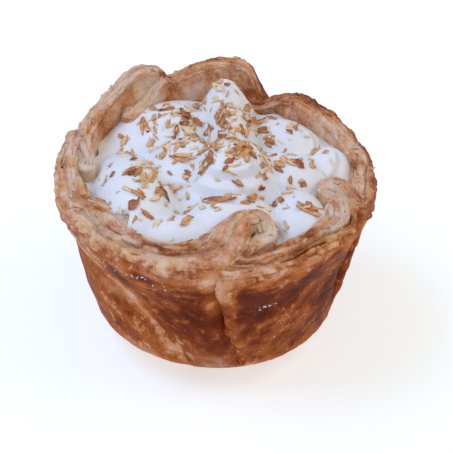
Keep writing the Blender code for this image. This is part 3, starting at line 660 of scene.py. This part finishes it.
def rim_surface():
    """Grid of the puffed edge with its fields. Leaves are counted from the outer face, and each
    stands, breaks off and parts in its own way, with a groove of depth 1 - |sin(pi n)|^0.5
    between two of them. The crust outside them is blistered."""
    strip = folded_strip(RIM_COLUMNS)
    thick = strip[:, 3, None]
    angle = bearing(strip)[:, None]
    around = np.hypot(strip[:, 0], strip[:, 1])[:, None]
    ragged = unevenness(RIM_COLUMNS, 1, 14, 1, 11) + 0.6 * unevenness(RIM_COLUMNS, 1, 5, 1, 10)
    skirt = read_round(SKIRT, angle) * MM + HEM_RAGGED * ragged
    height, share, top, shown = rim_section(thick, skirt)
    rows = share.shape[1]
    fall = np.where(share > 0.0, (RIM_HEIGHT - height) / (skirt + HEM), 0.0)
    points = lay_sheet(strip, height, share * WALL, HEM * ease(fall, 0.66, 1.0))

    def uneven(along, down, seed):
        """A random field over the whole grid."""
        return unevenness(RIM_COLUMNS, rows, along, down, seed)

    wander = uneven(30, 20, 12) + 0.35 * uneven(8, 9, 9)
    layer = (0.5 - share) * thick / (LEAF * MM) + 0.8 * wander
    number = np.clip(np.floor(layer).astype(int) + 2, 0, LEAVES + 1)
    column = np.arange(RIM_COLUMNS)[:, None]

    def each_leaf(along, seed):
        """A random value that each leaf keeps, drifting along the rim."""
        return unevenness(RIM_COLUMNS, LEAVES + 2, along, 0, seed)[column, number]

    stand = np.tanh(2.5 * each_leaf(14, 14)) + 0.25 * each_leaf(4, 15)
    missing = ease(each_leaf(16, 19), 0.55, 0.9)
    depth = np.clip(0.55 + 0.7 * each_leaf(10, 13), 0.08, 1.4)
    crest = np.abs(np.sin(np.pi * layer)) ** 0.5
    crisp = read_round(CRISP, angle)
    crisp = crisp * (1.0 - 0.5 * ease(RIM_RADIUS - around, 10.0 * MM, 15.0 * MM))
    near = np.linalg.norm(points - np.array(SMOOTH[:3]) * MM, axis=2) / (SMOOTH[3] * MM)
    calm = 1.0 - 0.8 * np.exp(-near ** 2)
    layered = top * crisp * calm * ease(CRUST + 0.10 * wander - share, 0.0, 0.14)
    groove = depth * (1.0 - crest) * layered
    gap = gap_depths(angle, share, thick, wander)
    gap = gap * (top > 0.0) * ease(around, 36.0 * MM, 38.5 * MM)

    # relief: the leaves and what parts them, and the swollen, blistered crust, which is more
    # lumpy from the left round the front to the right
    fine = uneven(2.2, 2.2, 16)
    blisters = np.abs(uneven(7.0, 8.0, 18))
    knobs = np.abs(uneven(3.0, 3.5, 20))
    coarse = uneven(18.0, 14.0, 17)
    outer = ease(share, CRUST - 0.1, 0.5)
    lumpy = ease(angle, -150.0, -130.0) * ease(-angle, 14.0, 26.0)
    lumpy = lumpy * (0.5 + 0.5 * ease(angle, -70.0, -56.0))
    relief = layered * (0.45 * stand - 0.8 * missing) * MM - LEAF_RELIEF * groove - gap
    relief = relief + (0.12 * fine + 0.35 * coarse) * MM * shown * calm
    bumps = (0.25 + (0.75 + 0.7 * lumpy) * outer) * (0.65 * blisters + 0.30 * knobs - 0.35) * MM
    relief = relief + bumps * shown * calm
    points = points + grid_normals(points, True) * relief[..., None]

    # fields: pale layers, crust that browned more on some sides, a fried skirt, and painted
    # shade, dark red-brown, in the crevices and gaps
    deepness = groove + gap / LEAF_RELIEF + 0.25 * missing * layered
    painted_crevice_shade = np.maximum(0.52 * np.clip(deepness, 0.0, 1.0) ** 1.3,
                         0.9 * ease(gap, 0.3 * MM, 2.2 * MM))
    browned = 0.275 + 0.16 * layered * each_leaf(22, 21) + 0.08 * layered * stand
    browned = browned + read_round(CRUST_TAN, angle) * outer - 0.12 * coarse
    browned = browned - (0.16 + 0.16 * lumpy) * outer * (blisters - 0.4)
    browned = browned + 0.06 * (1.0 - top) * (share < 0.0)
    fried = 0.34 - 0.16 * ease(angle, -84.0, -74.0) * ease(-angle, 30.0, 42.0)
    browned = browned + fried * ease(fall + 0.22 * coarse + 0.10 * fine, 0.20, 1.05)
    for x, y, z, radius, change in RIM_PATCHES:
        away = np.linalg.norm(points - np.array((x, y, z)) * MM, axis=2) / (radius * MM)
        browned = browned + change * np.exp(-away ** 2)
    ochre = lumpy * ease(share, 0.0, 0.3) * ease(angle, -75.0, -60.0)
    fields = {"browned": browned + 0.05 * ochre, "painted_crevice_shade": painted_crevice_shade,
              "leaf": 2.2 * layer * (0.25 + 0.75 * layered), "ochre": ochre}

    # the hidden return needs only one row between its ends
    kept = np.r_[0:sum(RIM_ROWS[:3]), rows - 2]
    return points[:, kept], {name: values[:, kept] for name, values in fields.items()}


rim_points, rim_fields = rim_surface()
rim = add_piece("pastry_rim", rim_points.reshape(-1, 3),
                [grid_faces(*rim_points.shape[:2], True)], rim_fields,
                baked_pastry("puff pastry, baked free of the tin", gloss=0.40, matt=0.56,
                             ior=1.42, layered=True))
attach(rim, "root")
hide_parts("pastry")

# ==== Pastry: lifted flakes ===============================================================
# Thin flakes that lifted from the cut edge and the crust as the layers dried, each a small
# torn plate of one layer that still hangs on by one end.
FLAKE_COUNT = 170
FLAKE_ROWS = (34, 72)           # rows of the rim's section that they lift from
FLAKE_LENGTH = (1.0, 3.8)       # mm
FLAKE_THICKNESS = 0.22 * MM
STATIONS = 9                    # sections along a flake or chip


def torn_plates(long, wide, thick, curl_range, seed):
    """Points of many small plates lying at the origin along x, as plates by stations by six
    round the section. Each side tapers to its own width at the two ends, which are torn off
    unevenly, and the plate bows sideways, curls up and twists."""
    draw = np.random.default_rng(seed)
    count = len(long)
    long = np.reshape(long, (count, 1))
    wide = np.reshape(wide, (count, 1))

    def each(low, high):
        """One random value for each plate."""
        return draw.uniform(low, high, (count, 1))

    t = np.linspace(0.0, 1.0, STATIONS)[None, :]
    mid = t - 0.5

    def outline():
        """Width of one side along the plates, as shares of half their width."""
        near, far = each(0.1, 1.0), each(0.1, 1.0)
        taper = near + (1.0 - near) * np.clip(t / each(0.1, 0.6), 0.0, 1.0)
        taper = taper * (far + (1.0 - far) * np.clip((1.0 - t) / each(0.1, 0.6), 0.0, 1.0))
        return (taper + 0.04) * (1.0 + 0.12 * draw.standard_normal((count, STATIONS)))

    def stretch():
        """Places of the stations between the two torn ends."""
        first = each(0.0, 1.0) * torn
        last = long - each(0.0, 1.0) * torn
        return first + (last - first) * t - 0.5 * long

    left = 0.5 * wide * outline()
    right = 0.5 * wide * outline()
    body = (left + right) / wide
    bow = long * each(-0.2, 0.2) * mid ** 2
    curl = long * each(*curl_range) * mid ** 2
    cup = wide * each(0.0, 0.22) * body
    half = 0.5 * thick * each(0.6, 1.2) * np.sqrt(body + 0.1)
    twist = each(-0.5, 0.5) * mid * 2.0
    torn = np.minimum(0.8 * wide, 0.3 * long)
    middle = 0.5 * (left - right)
    sides = [(left, stretch(), 0.0), (middle, stretch(), 1.0), (-right, stretch(), 0.0)]
    section = []
    over = [(1.0, side) for side in sides]
    under = [(-1.0, side) for side in sides[::-1]]
    for level, (across, ahead, sag) in over + under:
        up = curl + level * half - sag * cup
        section.append(np.stack([ahead, bow + across * np.cos(twist),
                                 up + across * np.sin(twist)], -1))
    return np.stack(section, 2)


def lay_plates(plates, at, along, normal):
    """Plates carried to their places, each with x along `along` and z along its normal."""
    normal = normal / np.linalg.norm(normal, axis=1, keepdims=True)
    along = along - normal * (along * normal).sum(1, keepdims=True)
    along = along / np.linalg.norm(along, axis=1, keepdims=True)
    axes = np.stack([along, np.cross(normal, along), normal], 1)
    return at[:, None, None, :] + np.einsum("nski,nij->nskj", plates, axes)


def plate_faces(points):
    """Faces of plates: strips round each section and a face at each end."""
    count, stations, ring = points.shape[:3]
    index = np.arange(count * stations * ring).reshape(count, stations, ring)
    beside = np.roll(index, -1, 2)
    sides = np.stack([index[:, :-1], index[:, 1:], beside[:, 1:], beside[:, :-1]], -1)
    return [sides.reshape(-1, 4), np.concatenate([index[:, 0], index[:, -1, ::-1]])]


def add_pastry_flakes():
    """Flakes along the strip at random places of the rim's top and crust."""
    draw = np.random.default_rng(24)
    column = draw.integers(0, RIM_COLUMNS, FLAKE_COUNT)
    row = draw.integers(*FLAKE_ROWS, FLAKE_COUNT)
    at = rim_points[column, row]
    along = rim_points[(column + 2) % RIM_COLUMNS, row] - rim_points[column - 2, row]
    along = along / np.linalg.norm(along, axis=1, keepdims=True)
    normal = grid_normals(rim_points, True)[column, row]
    along = along + 0.35 * draw.standard_normal((FLAKE_COUNT, 3))
    lean = normal + 0.20 * draw.standard_normal((FLAKE_COUNT, 3))
    long = draw.uniform(*FLAKE_LENGTH, FLAKE_COUNT) * MM
    wide = long * draw.uniform(0.22, 0.6, FLAKE_COUNT)
    plates = torn_plates(long, wide, FLAKE_THICKNESS, (-0.1, 0.25), 25)
    points = lay_plates(plates, at + normal * 0.1 * MM, along, lean)
    browned = rim_fields["browned"][column, row] + draw.uniform(-0.22, 0.14, FLAKE_COUNT)
    browned = browned[:, None, None] + np.zeros(points.shape[:3])
    fields = {"browned": browned, "painted_crevice_shade": 0.0 * browned, "leaf": 9.0 * browned}
    return add_piece("pastry_flakes", points.reshape(-1, 3), plate_faces(points), fields,
                     rim.data.materials[0], smooth=False)


flakes = add_pastry_flakes()
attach(flakes, "root")
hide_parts("pastry")

# ==== Pastry: grains and painted glints ===================================================
# Grains of dusting flour and fine sugar that stuck to the butter on the wall, in small drifts.
# They are dry and white, and stand out from the brown; they also stand for the butter's glints,
# as painted highlights.

# Drifts: angle and height of the middle, half length along and half width across in mm, slope,
# number of grains.
DRIFTS = (
    (-119, 48.8, 3.6, 0.8, -4, 11), (-111, 46.8, 2.4, 1, 0, 4), (-71.2, 37.6, 2.4, 1, 0, 11),
    (-131, 48, 3, 2, 0, 4), (20, 33, 6, 2, 20, 12), (105, 40, 5, 2, -10, 12),
    (165, 28, 7, 4, 0, 12),
)
DRIFT_RADIUS = 44.0             # of the wall at the drifts, mm
OUT_OF_REACH = 1.0              # added to the distance of the wall's inner face
GRAIN_THICKNESS = 0.26 * MM


def grains_and_painted_glints():
    """Dry white flour and sugar, partly painted highlights for the butter's glints: matt, a little
    cream-coloured in places of 1.5 mm.
    """
    material, tree, shader = new_material("white grains and painted glints")
    place = add(tree, "TexCoord", out="Object")
    spots = add(tree, "TexNoise", {"Vector": place, "Scale": PER_MM / 1.5, "Detail": 2.0})
    colour = add(tree, "ValToRGB", {"Fac": spots}, ((0.35, "#fffdf8"), (0.65, "#efe0cc")))
    connect(tree, shader, {"Base Color": colour, "Roughness": 0.6})
    return material


def add_grains():
    """Small plates laid on the wall, each at the grid point nearest to its angle and height."""
    draw = np.random.default_rng(41)
    normal = grid_normals(wall_points, False).reshape(-1, 3)
    skin = wall_points.reshape(-1, 3)
    turned = np.arctan2(skin[:, 1], skin[:, 0])
    inner = np.hypot(skin[:, 0], skin[:, 1]) < outer_radius(skin[:, 2]) - 2.5 * MM
    chosen = []
    for angle, height, long, wide, slope, count in DRIFTS:
        ahead = long * draw.uniform(-1.0, 1.0, count)
        aside = wide * draw.standard_normal(count) * 0.6
        off, rise = along_axes(ahead, aside, -slope)
        around = math.radians(angle) + off / DRIFT_RADIUS
        chord = np.abs(np.exp(1j * turned[None]) - np.exp(1j * around[:, None]))
        above = skin[None, :, 2] - (height + rise[:, None]) * MM
        chosen.append((np.hypot(DRIFT_RADIUS * MM * chord, above) + OUT_OF_REACH * inner).argmin(1))
    chosen = np.concatenate(chosen)
    size = (0.25 + 0.4 * draw.random(len(chosen)) ** 2) * MM
    plates = torn_plates(size, 0.8 * size, GRAIN_THICKNESS, (-0.1, 0.1), 42)
    along = draw.standard_normal((len(chosen), 3))
    upright = normal[chosen]
    aside = draw.uniform(-0.4, 0.4, (len(chosen), 3)) * MM
    aside = aside - upright * (aside * upright).sum(1, keepdims=True)
    points = lay_plates(plates, skin[chosen] + 0.08 * MM * upright + aside, along, upright)
    return add_piece("grains_and_painted_glints", points.reshape(-1, 3), plate_faces(points), {},
                     grains_and_painted_glints(), smooth=False)


grains = add_grains()
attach(grains, "root")
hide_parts("pastry")

# ==== Cream ===============================================================================
# Whipped cream spooned on in soft overlapping masses, the last one drawn up to a peak. It is
# wet and smooth, and light goes a few millimetres into it.

# Masses: centre x, y, radii along and across, turn in degrees, crown above the rim in mm, and
# how full the mass is (the exponent of its fall).
MASSES = (
    (-24, -6, 11.5, 22, 15, 4.5, 1.25), (-12, 27, 20, 15, 5, 6, 0.95), (-8, 8, 14, 14, 0, 5, 1.1),
    (4.5, 1, 11.5, 13, 0, 10, 0.95), (3, 29, 6, 7.5, 0, 15.5, 0.75),
    (4.5, 21, 7, 11, 0, 11, 0.85), (20, 22, 14, 11, -25, 3.5, 1.1), (34, 9, 9, 11, 10, 2, 1.05),
    (22, 4, 14, 12, 0, 3, 1.1), (24, -17, 9.5, 14, 8, 3, 1.3), (5, -18, 14, 10.5, 0, 4.5, 1.15),
    (-10, -24, 15, 9.5, -10, 1.5, 1.2),
)
CREAM_LEVEL = -3.5 * MM         # between the masses, from the rim
CREAM_DISH = 1.0 * MM           # rise of that level to the rim
MASS_DROP = 7.0 * MM            # fall of a mass from its crown to its radius
CREAM_BLEND = 0.5 * MM          # rounding where masses meet
CREAM_REACH = 44.5 * MM         # radius, up against the pastry
CREAM_FOOT = RIM_HEIGHT - 12.0 * MM
# Where the cream keeps back from the pastry, as pleats open there: angle, depth in mm, half
# width in degrees.
HOLLOWS = (
    (-88, 5, 7), (-20, 5, 7), (69.5, 5, 7), (112, 5, 7), (157, 5, 7), (203, 5, 7), (217, 13, 10),
)
CREAM_RINGS = 112
CREAM_SPAN = 620                # points round each ring
# Ledges left by the spoon, each an arc: centre x, y, radius in mm, angles from and to, height.
LEDGES = (
    (4.5, 1, 9.2, -150, 60, 0.85), (4.5, 0, 12.6, -160, -35, 0.7), (3.5, 27, 5, -60, 90, 0.4),
    (22, 4, 9, 150, 290, 0.45), (-8, 8, 12.5, -190, -50, 0.45), (22, 17, 8.5, -60, 60, 0.55),
    (27, 7, 9.5, -70, 60, 0.55),
)
LEDGE_WIDTH = 1.1 * MM
LEDGE_FADE = 30.0               # degrees over which its ends fade


def cream_height(x, y):
    """Height of the cream above a point: b log(sum exp(h / b)) over the masses, each
    crown - drop (u^2 + v^2)^full in its own turned and stretched axes, and at each ledge a
    lip inside its arc and a groove outside, -2.3 d exp(-d^2) with d the distance to the arc,
    where 2.3 makes the lip as high as the ledge."""
    level = CREAM_LEVEL + CREAM_DISH * ((x * x + y * y) / RIM_RADIUS ** 2)
    total = np.exp(level / CREAM_BLEND)
    for cx, cy, across, deep, turn, crown, full in MASSES:
        u, v = along_axes(x - cx * MM, y - cy * MM, turn)
        reach = (u / (across * MM)) ** 2 + (v / (deep * MM)) ** 2
        mass = crown * MM - MASS_DROP * reach ** full
        total = total + np.exp(mass / CREAM_BLEND)
    height = RIM_HEIGHT + CREAM_BLEND * np.log(total)
    for cx, cy, radius, begin, end, rise in LEDGES:
        off = (np.hypot(x - cx * MM, y - cy * MM) - radius * MM) / LEDGE_WIDTH
        turn = (np.degrees(np.arctan2(y - cy * MM, x - cx * MM)) - begin) % 360.0
        within = ease(turn, 0.0, LEDGE_FADE) * ease(end - begin - turn, 0.0, LEDGE_FADE)
        height = height - rise * MM * 2.3 * off * np.exp(-off ** 2) * within
    return height


def whipped_cream():
    """Whipped cream: nearly white, clouded at 14 mm, a soft satin with bubbles too fine to see,
    drawn as 0.9 mm relief so that they show, and with light scattered inside it."""
    material, tree, shader = new_material("whipped cream, spooned")
    place = add(tree, "TexCoord", out="Object")
    cloud = add(tree, "TexNoise", {"Vector": place, "Scale": PER_MM / 14.0, "Detail": 2.0})
    foam = add(tree, "TexNoise", {"Vector": place, "Scale": PER_MM / 0.9, "Detail": 4.0})
    connect(tree, shader, {
        "Base Color": add(tree, "ValToRGB", {"Fac": cloud}, ((0.35, "#dae0ed"), (0.65, "#e0e4e9"))),
        "Normal": add(tree, "Bump", {"Height": foam, "Distance": 0.08 * MM, "Strength": 0.35}),
        "Roughness": 0.42, "IOR": 1.4, "Subsurface Weight": 0.35,
        "Subsurface Radius": (1.0, 0.9, 0.8), "Subsurface Scale": 0.9 * MM,
    })
    return material


def add_cream():
    """The cream's top on rings round the middle, with its skirt and a flat underside."""
    ring = np.linspace(1.0, 0.0, CREAM_RINGS, endpoint=False)[None, :]
    turn = np.linspace(0.0, 2.0 * np.pi, CREAM_SPAN, endpoint=False)[:, None]
    reach = np.full_like(turn, CREAM_REACH)
    for angle, depth, wide in HOLLOWS:
        off = angle_from(angle, np.degrees(turn))
        reach = reach - depth * MM * np.exp(-(off / wide) ** 2)
    x, y = ring * reach * np.cos(turn), ring * reach * np.sin(turn)
    foam = unevenness(CREAM_SPAN, CREAM_RINGS, 10, 5, 31)
    top = np.dstack([x, y, cream_height(x, y) + 0.10 * MM * foam * ring])
    foot = top[:, :1] * (0.9, 0.9, 0.0) + (0.0, 0.0, CREAM_FOOT)
    flat, faces = close_ends(np.concatenate([foot, top], axis=1), (0.0, 0.0, CREAM_FOOT),
                             (0.0, 0.0, float(cream_height(0.0, 0.0))))
    return add_piece("whipped_cream", flat, faces, {}, whipped_cream())


cream = add_cream()
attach(cream, "root")
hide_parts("cream")

# ==== Coconut =============================================================================
# Chips and slivers of toasted coconut, strewn by hand: thin, stiff, torn at the ends, from
# straw to dark brown.

# The largest, where they lie: x, y, length, width in mm, turn in degrees, toasting.
CHIPS = (
    (1.5, 18.6, 9.7, 3.2, -83, 0.7), (8, 0.4, 10.5, 3.6, 45, 0.62), (1, -17, 10.2, 2.6, -9, 0.72),
    (26, -19.5, 8.7, 3.2, -17, 0.64), (10.4, 21, 10.5, 2.6, 40, 0.6),
    (-11, 3.6, 7, 2.6, -20, 0.58), (-24.4, -3.9, 6, 4.2, 54, 0.8), (-15, 28, 5.6, 2.8, 27, 0.85),
    (-22, 21, 8, 2, -80, 0.66), (9.8, -16.5, 7.5, 2.2, 63, 0.55),
    (17.7, -13.3, 7.5, 2.2, -67, 0.8), (22.8, 2.7, 6.5, 2, -30, 0.45), (-19, -5.5, 8, 2, 78, 0.4),
    (-27, 13, 8, 2, -71, 0.38), (-8.8, -23.9, 5, 2.2, 36, 0.6), (30.5, 13, 7, 2, 50, 0.45),
    (-9.8, 21.5, 5, 2.8, 25, 0.85), (-15.5, 7.5, 4.9, 2.8, -54, 0.5), (-6, 31, 6, 2.2, -75, 0.62),
    (16.2, 16.1, 5, 2.1, -44, 0.66), (25.2, -3.9, 3.8, 1.8, 33, 0.7),
    (28.7, 2.9, 4.1, 1.8, 51, 0.55), (-22.1, -13.9, 6.1, 1.9, -43, 0.62),
    (-16.7, -11.5, 5.2, 1.8, 82, 0.66), (-4.1, -3.8, 3, 1.5, -126, 0.4),
    (-1.6, -0.9, 9, 1, -80, 0.78), (-20, 15.8, 4, 1.8, -111, 0.45),
    (9.8, 27.8, 2.2, 1.5, 116, 0.6), (0.3, 2.8, 5.2, 2.2, 63, 0.52),
    (13.3, -8.9, 2.6, 1.5, 83, 0.92), (12.7, -11.7, 7.2, 1.8, 72, 0.7),
)
CHIP_COUNT = 170                # others, scattered
SLIVER_COUNT = 290
# Where most of them fell: x, y, spread in mm.
CROWDS = ((-2, 8, 16), (5, 2, 9), (12, 24, 10), (-14, 22, 8))
STREWN = 35.0                   # radius of the strewn area, mm
STREWN_SHIFT = 3.0              # and its shift to the back
FIBRE = 0.9                     # width of a chip's fibres, mm
SLOPE_STEP = 0.4 * MM           # to either side, to read the cream's slope under a chip


def scatter(count, long, slim, toast, seed):
    """Rows like CHIPS: places drawn evenly over a disc and kept with a chance that falls away
    from the crowded places, sizes and toasting drawn between two limits."""
    draw = np.random.default_rng(seed)
    spot = draw.uniform(-STREWN, STREWN, (count * 8, 2))
    chance = np.zeros(len(spot))
    for x, y, spread in CROWDS:
        away = (spot[:, 0] - x) ** 2 + (spot[:, 1] + STREWN_SHIFT - y) ** 2
        chance = chance + np.exp(-away / spread ** 2)
    kept = (np.hypot(*spot.T) < STREWN) & (draw.random(len(spot)) < 0.10 + 0.4 * chance)
    spot = spot[kept][:count]
    count = len(spot)
    length = draw.uniform(*long, count) * draw.uniform(0.7, 1.2, count)
    return np.column_stack([spot[:, 0], spot[:, 1] + STREWN_SHIFT, length,
                            length * draw.uniform(*slim, count), draw.uniform(-90, 90, count),
                            draw.uniform(*toast, count)])


def shreds(rows, seed):
    """Each large chip split into up to four fibres that lie side by side and end unevenly."""
    draw = np.random.default_rng(seed)
    split = []
    for x, y, long, wide, turn, toast in rows:
        parts = int(np.clip(round(wide / FIBRE), 1, 4))
        for part in range(parts):
            across = wide * ((part + 0.5) / parts - 0.5)
            off_x, off_y = along_axes(long * draw.uniform(-0.16, 0.16), across, -turn)
            split.append((x + off_x, y + off_y, long * draw.uniform(0.6, 1.0), 1.5 * wide / parts,
                          turn + draw.uniform(-9.0, 9.0), toast + draw.uniform(-0.16, 0.12)))
    return np.array(split)


# Toasting colours, from straw to dark brown.
TOASTED = (
    (0.00, "#ecd8bb"), (0.33, "#ddb184"), (0.62, "#c28351"), (0.85, "#975737"),
    (1.00, "#693523"),
)


def toasted_coconut(name):
    """Dried coconut, toasted: fibrous along the chip, matt, from straw to dark brown by the
    field `toast`, darker at torn ends and broken up by 1.2 mm mottling."""
    material, tree, shader = new_material(name)
    place = add(tree, "TexCoord", out="Object")
    toast = add(tree, "Attribute", attribute_name="toast", out="Fac")
    spots = add(tree, "TexNoise", {"Vector": place, "Scale": PER_MM / 1.2, "Detail": 3.0})
    share = add(tree, "Math", {0: spots, 1: 0.5}, operation="SUBTRACT")
    total = add(tree, "Math", {0: share, 1: 0.55, 2: toast}, operation="MULTIPLY_ADD")
    connect(tree, shader, {
        "Base Color": add(tree, "ValToRGB", {"Fac": total}, TOASTED),
        "Normal": add(tree, "Bump", {"Height": spots, "Distance": 0.2 * MM, "Strength": 0.5}),
        "Roughness": 0.55, "IOR": 1.45, "Subsurface Weight": 0.15,
        "Subsurface Radius": (1.0, 0.6, 0.3), "Subsurface Scale": 0.8 * MM,
    })
    return material


def add_coconut(name, rows, lean, thick, seed, finish):
    """Chips laid on the cream by its own slope, each leant a little, as one joined mesh."""
    draw = np.random.default_rng(seed)
    x, y, long, wide, turn, toast = rows.T
    px, py = x * MM, y * MM
    rise_x = cream_height(px + SLOPE_STEP, py) - cream_height(px - SLOPE_STEP, py)
    rise_y = cream_height(px, py + SLOPE_STEP) - cream_height(px, py - SLOPE_STEP)
    normal = np.stack([-rise_x, -rise_y, np.full(len(rows), 2.0 * SLOPE_STEP)], 1)
    normal = normal / (2.0 * SLOPE_STEP)
    normal = normal + draw.uniform(-lean, lean, (len(rows), 3)) * (1.0, 1.0, 0.0)
    heading = np.radians(turn)
    along = np.stack([np.cos(heading), np.sin(heading), np.zeros(len(rows))], 1)
    lift = 0.35 * thick + draw.uniform(0.0, 0.3, len(rows))
    at = np.stack([px, py, cream_height(px, py) + lift * MM], 1)
    plates = torn_plates(long * MM, wide * MM, thick * MM, (-0.15, 0.35), seed + 1)
    points = lay_plates(plates, at, along, normal)
    ends = np.linspace(-1.0, 1.0, points.shape[1]) ** 4
    streak = draw.normal(0.0, 0.09, (len(rows), 1, 3))[..., (0, 1, 2, 2, 1, 0)]
    toast = toast[:, None, None] - 0.05 + 0.10 * ends[None, :, None] + streak
    piece = add_piece(name, points.reshape(-1, 3), plate_faces(points), {"toast": toast}, finish,
                      smooth=False)
    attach(piece, "root")
    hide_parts("cream")


toasted = toasted_coconut("toasted dried coconut")
chips = scatter(CHIP_COUNT, long=(2.4, 6.6), slim=(0.26, 0.46), toast=(0.04, 0.86), seed=7)
add_coconut("coconut_chips", np.vstack([shreds(CHIPS, 6), chips]), lean=0.22, thick=0.30, seed=8,
            finish=toasted)
slivers = scatter(SLIVER_COUNT, long=(1.2, 4.4), slim=(0.12, 0.32), toast=(-0.05, 0.55), seed=9)
add_coconut("coconut_slivers", slivers, lean=0.35, thick=0.22, seed=10, finish=toasted)

# ==== Floor, light and camera =============================================================
# A plain white sweep, a broad cool light from the upper left, weaker warm ones from the front
# and the right, and soft light all round.
SWEEP = 3.0                     # half the floor's side
sweep_mesh = bpy.data.meshes.new("floor")
sweep_mesh.from_pydata([(-SWEEP, -SWEEP, 0), (SWEEP, -SWEEP, 0), (SWEEP, SWEEP, 0),
                        (-SWEEP, SWEEP, 0)], [], [(0, 1, 2, 3)])
floor = bpy.data.objects.new("floor", sweep_mesh)
bpy.context.scene.collection.objects.link(floor)
paper, paper_tree, paper_shader = new_material("white paper sweep")
connect(paper_tree, paper_shader, {
    "Base Color": linear("#c6d1da"), "Roughness": 0.9, "Emission Color": linear("#ffffff"),
    "Emission Strength": 0.505,
})
sweep_mesh.materials.append(paper)


def look_at(item, target):
    """Turn a light or camera from its place towards a point."""
    aim = Vector(target) - item.location
    item.rotation_euler = aim.to_track_quat("-Z", "Y").to_euler()


PIE_MIDDLE = (0.0, 0.0, 0.04)
# Lights aimed at it: place, size of the square, power and colour.
LIGHTS = {
    "window": ((-0.58, 0.06, 0.74), 0.70, 5.5, "#c5dbff"),
    "fill": ((-0.10, -0.80, 0.45), 0.60, 1.2, "#fff4ea"),
    "side": ((0.60, 0.00, 0.66), 0.60, 2.4, "#ffecd6"),
}
for name, (place, size, power, colour) in LIGHTS.items():
    area = bpy.data.lights.new(name, "AREA")
    area.size = size
    area.energy = power
    area.color = linear(colour)[:3]
    light = bpy.data.objects.new(name, area)
    light.location = place
    look_at(light, PIE_MIDDLE)
    bpy.context.scene.collection.objects.link(light)
world = bpy.data.worlds.new("studio")
bpy.context.scene.world = world
world.use_nodes = True
connect(world.node_tree, world.node_tree.nodes["Background"],
        {"Color": linear("#fffcf8"), "Strength": 0.46})

RIM_MIDDLE = 0.054              # height of the rim's middle
CAMERA_RISE = 36.0              # seen from there, degrees above the floor
CAMERA_AWAY = 0.45
AIM = (0.0031, 0.0, 0.0345)     # the point in the middle of the picture
lens = bpy.data.cameras.new("camera")
lens.lens = 120.0
camera = bpy.data.objects.new("camera", lens)
camera.location = (0.0, -CAMERA_AWAY * math.cos(math.radians(CAMERA_RISE)),
                   RIM_MIDDLE + CAMERA_AWAY * math.sin(math.radians(CAMERA_RISE)))
look_at(camera, AIM)
bpy.context.scene.collection.objects.link(camera)
bpy.context.scene.camera = camera
bpy.context.scene.view_settings.view_transform = "Standard"
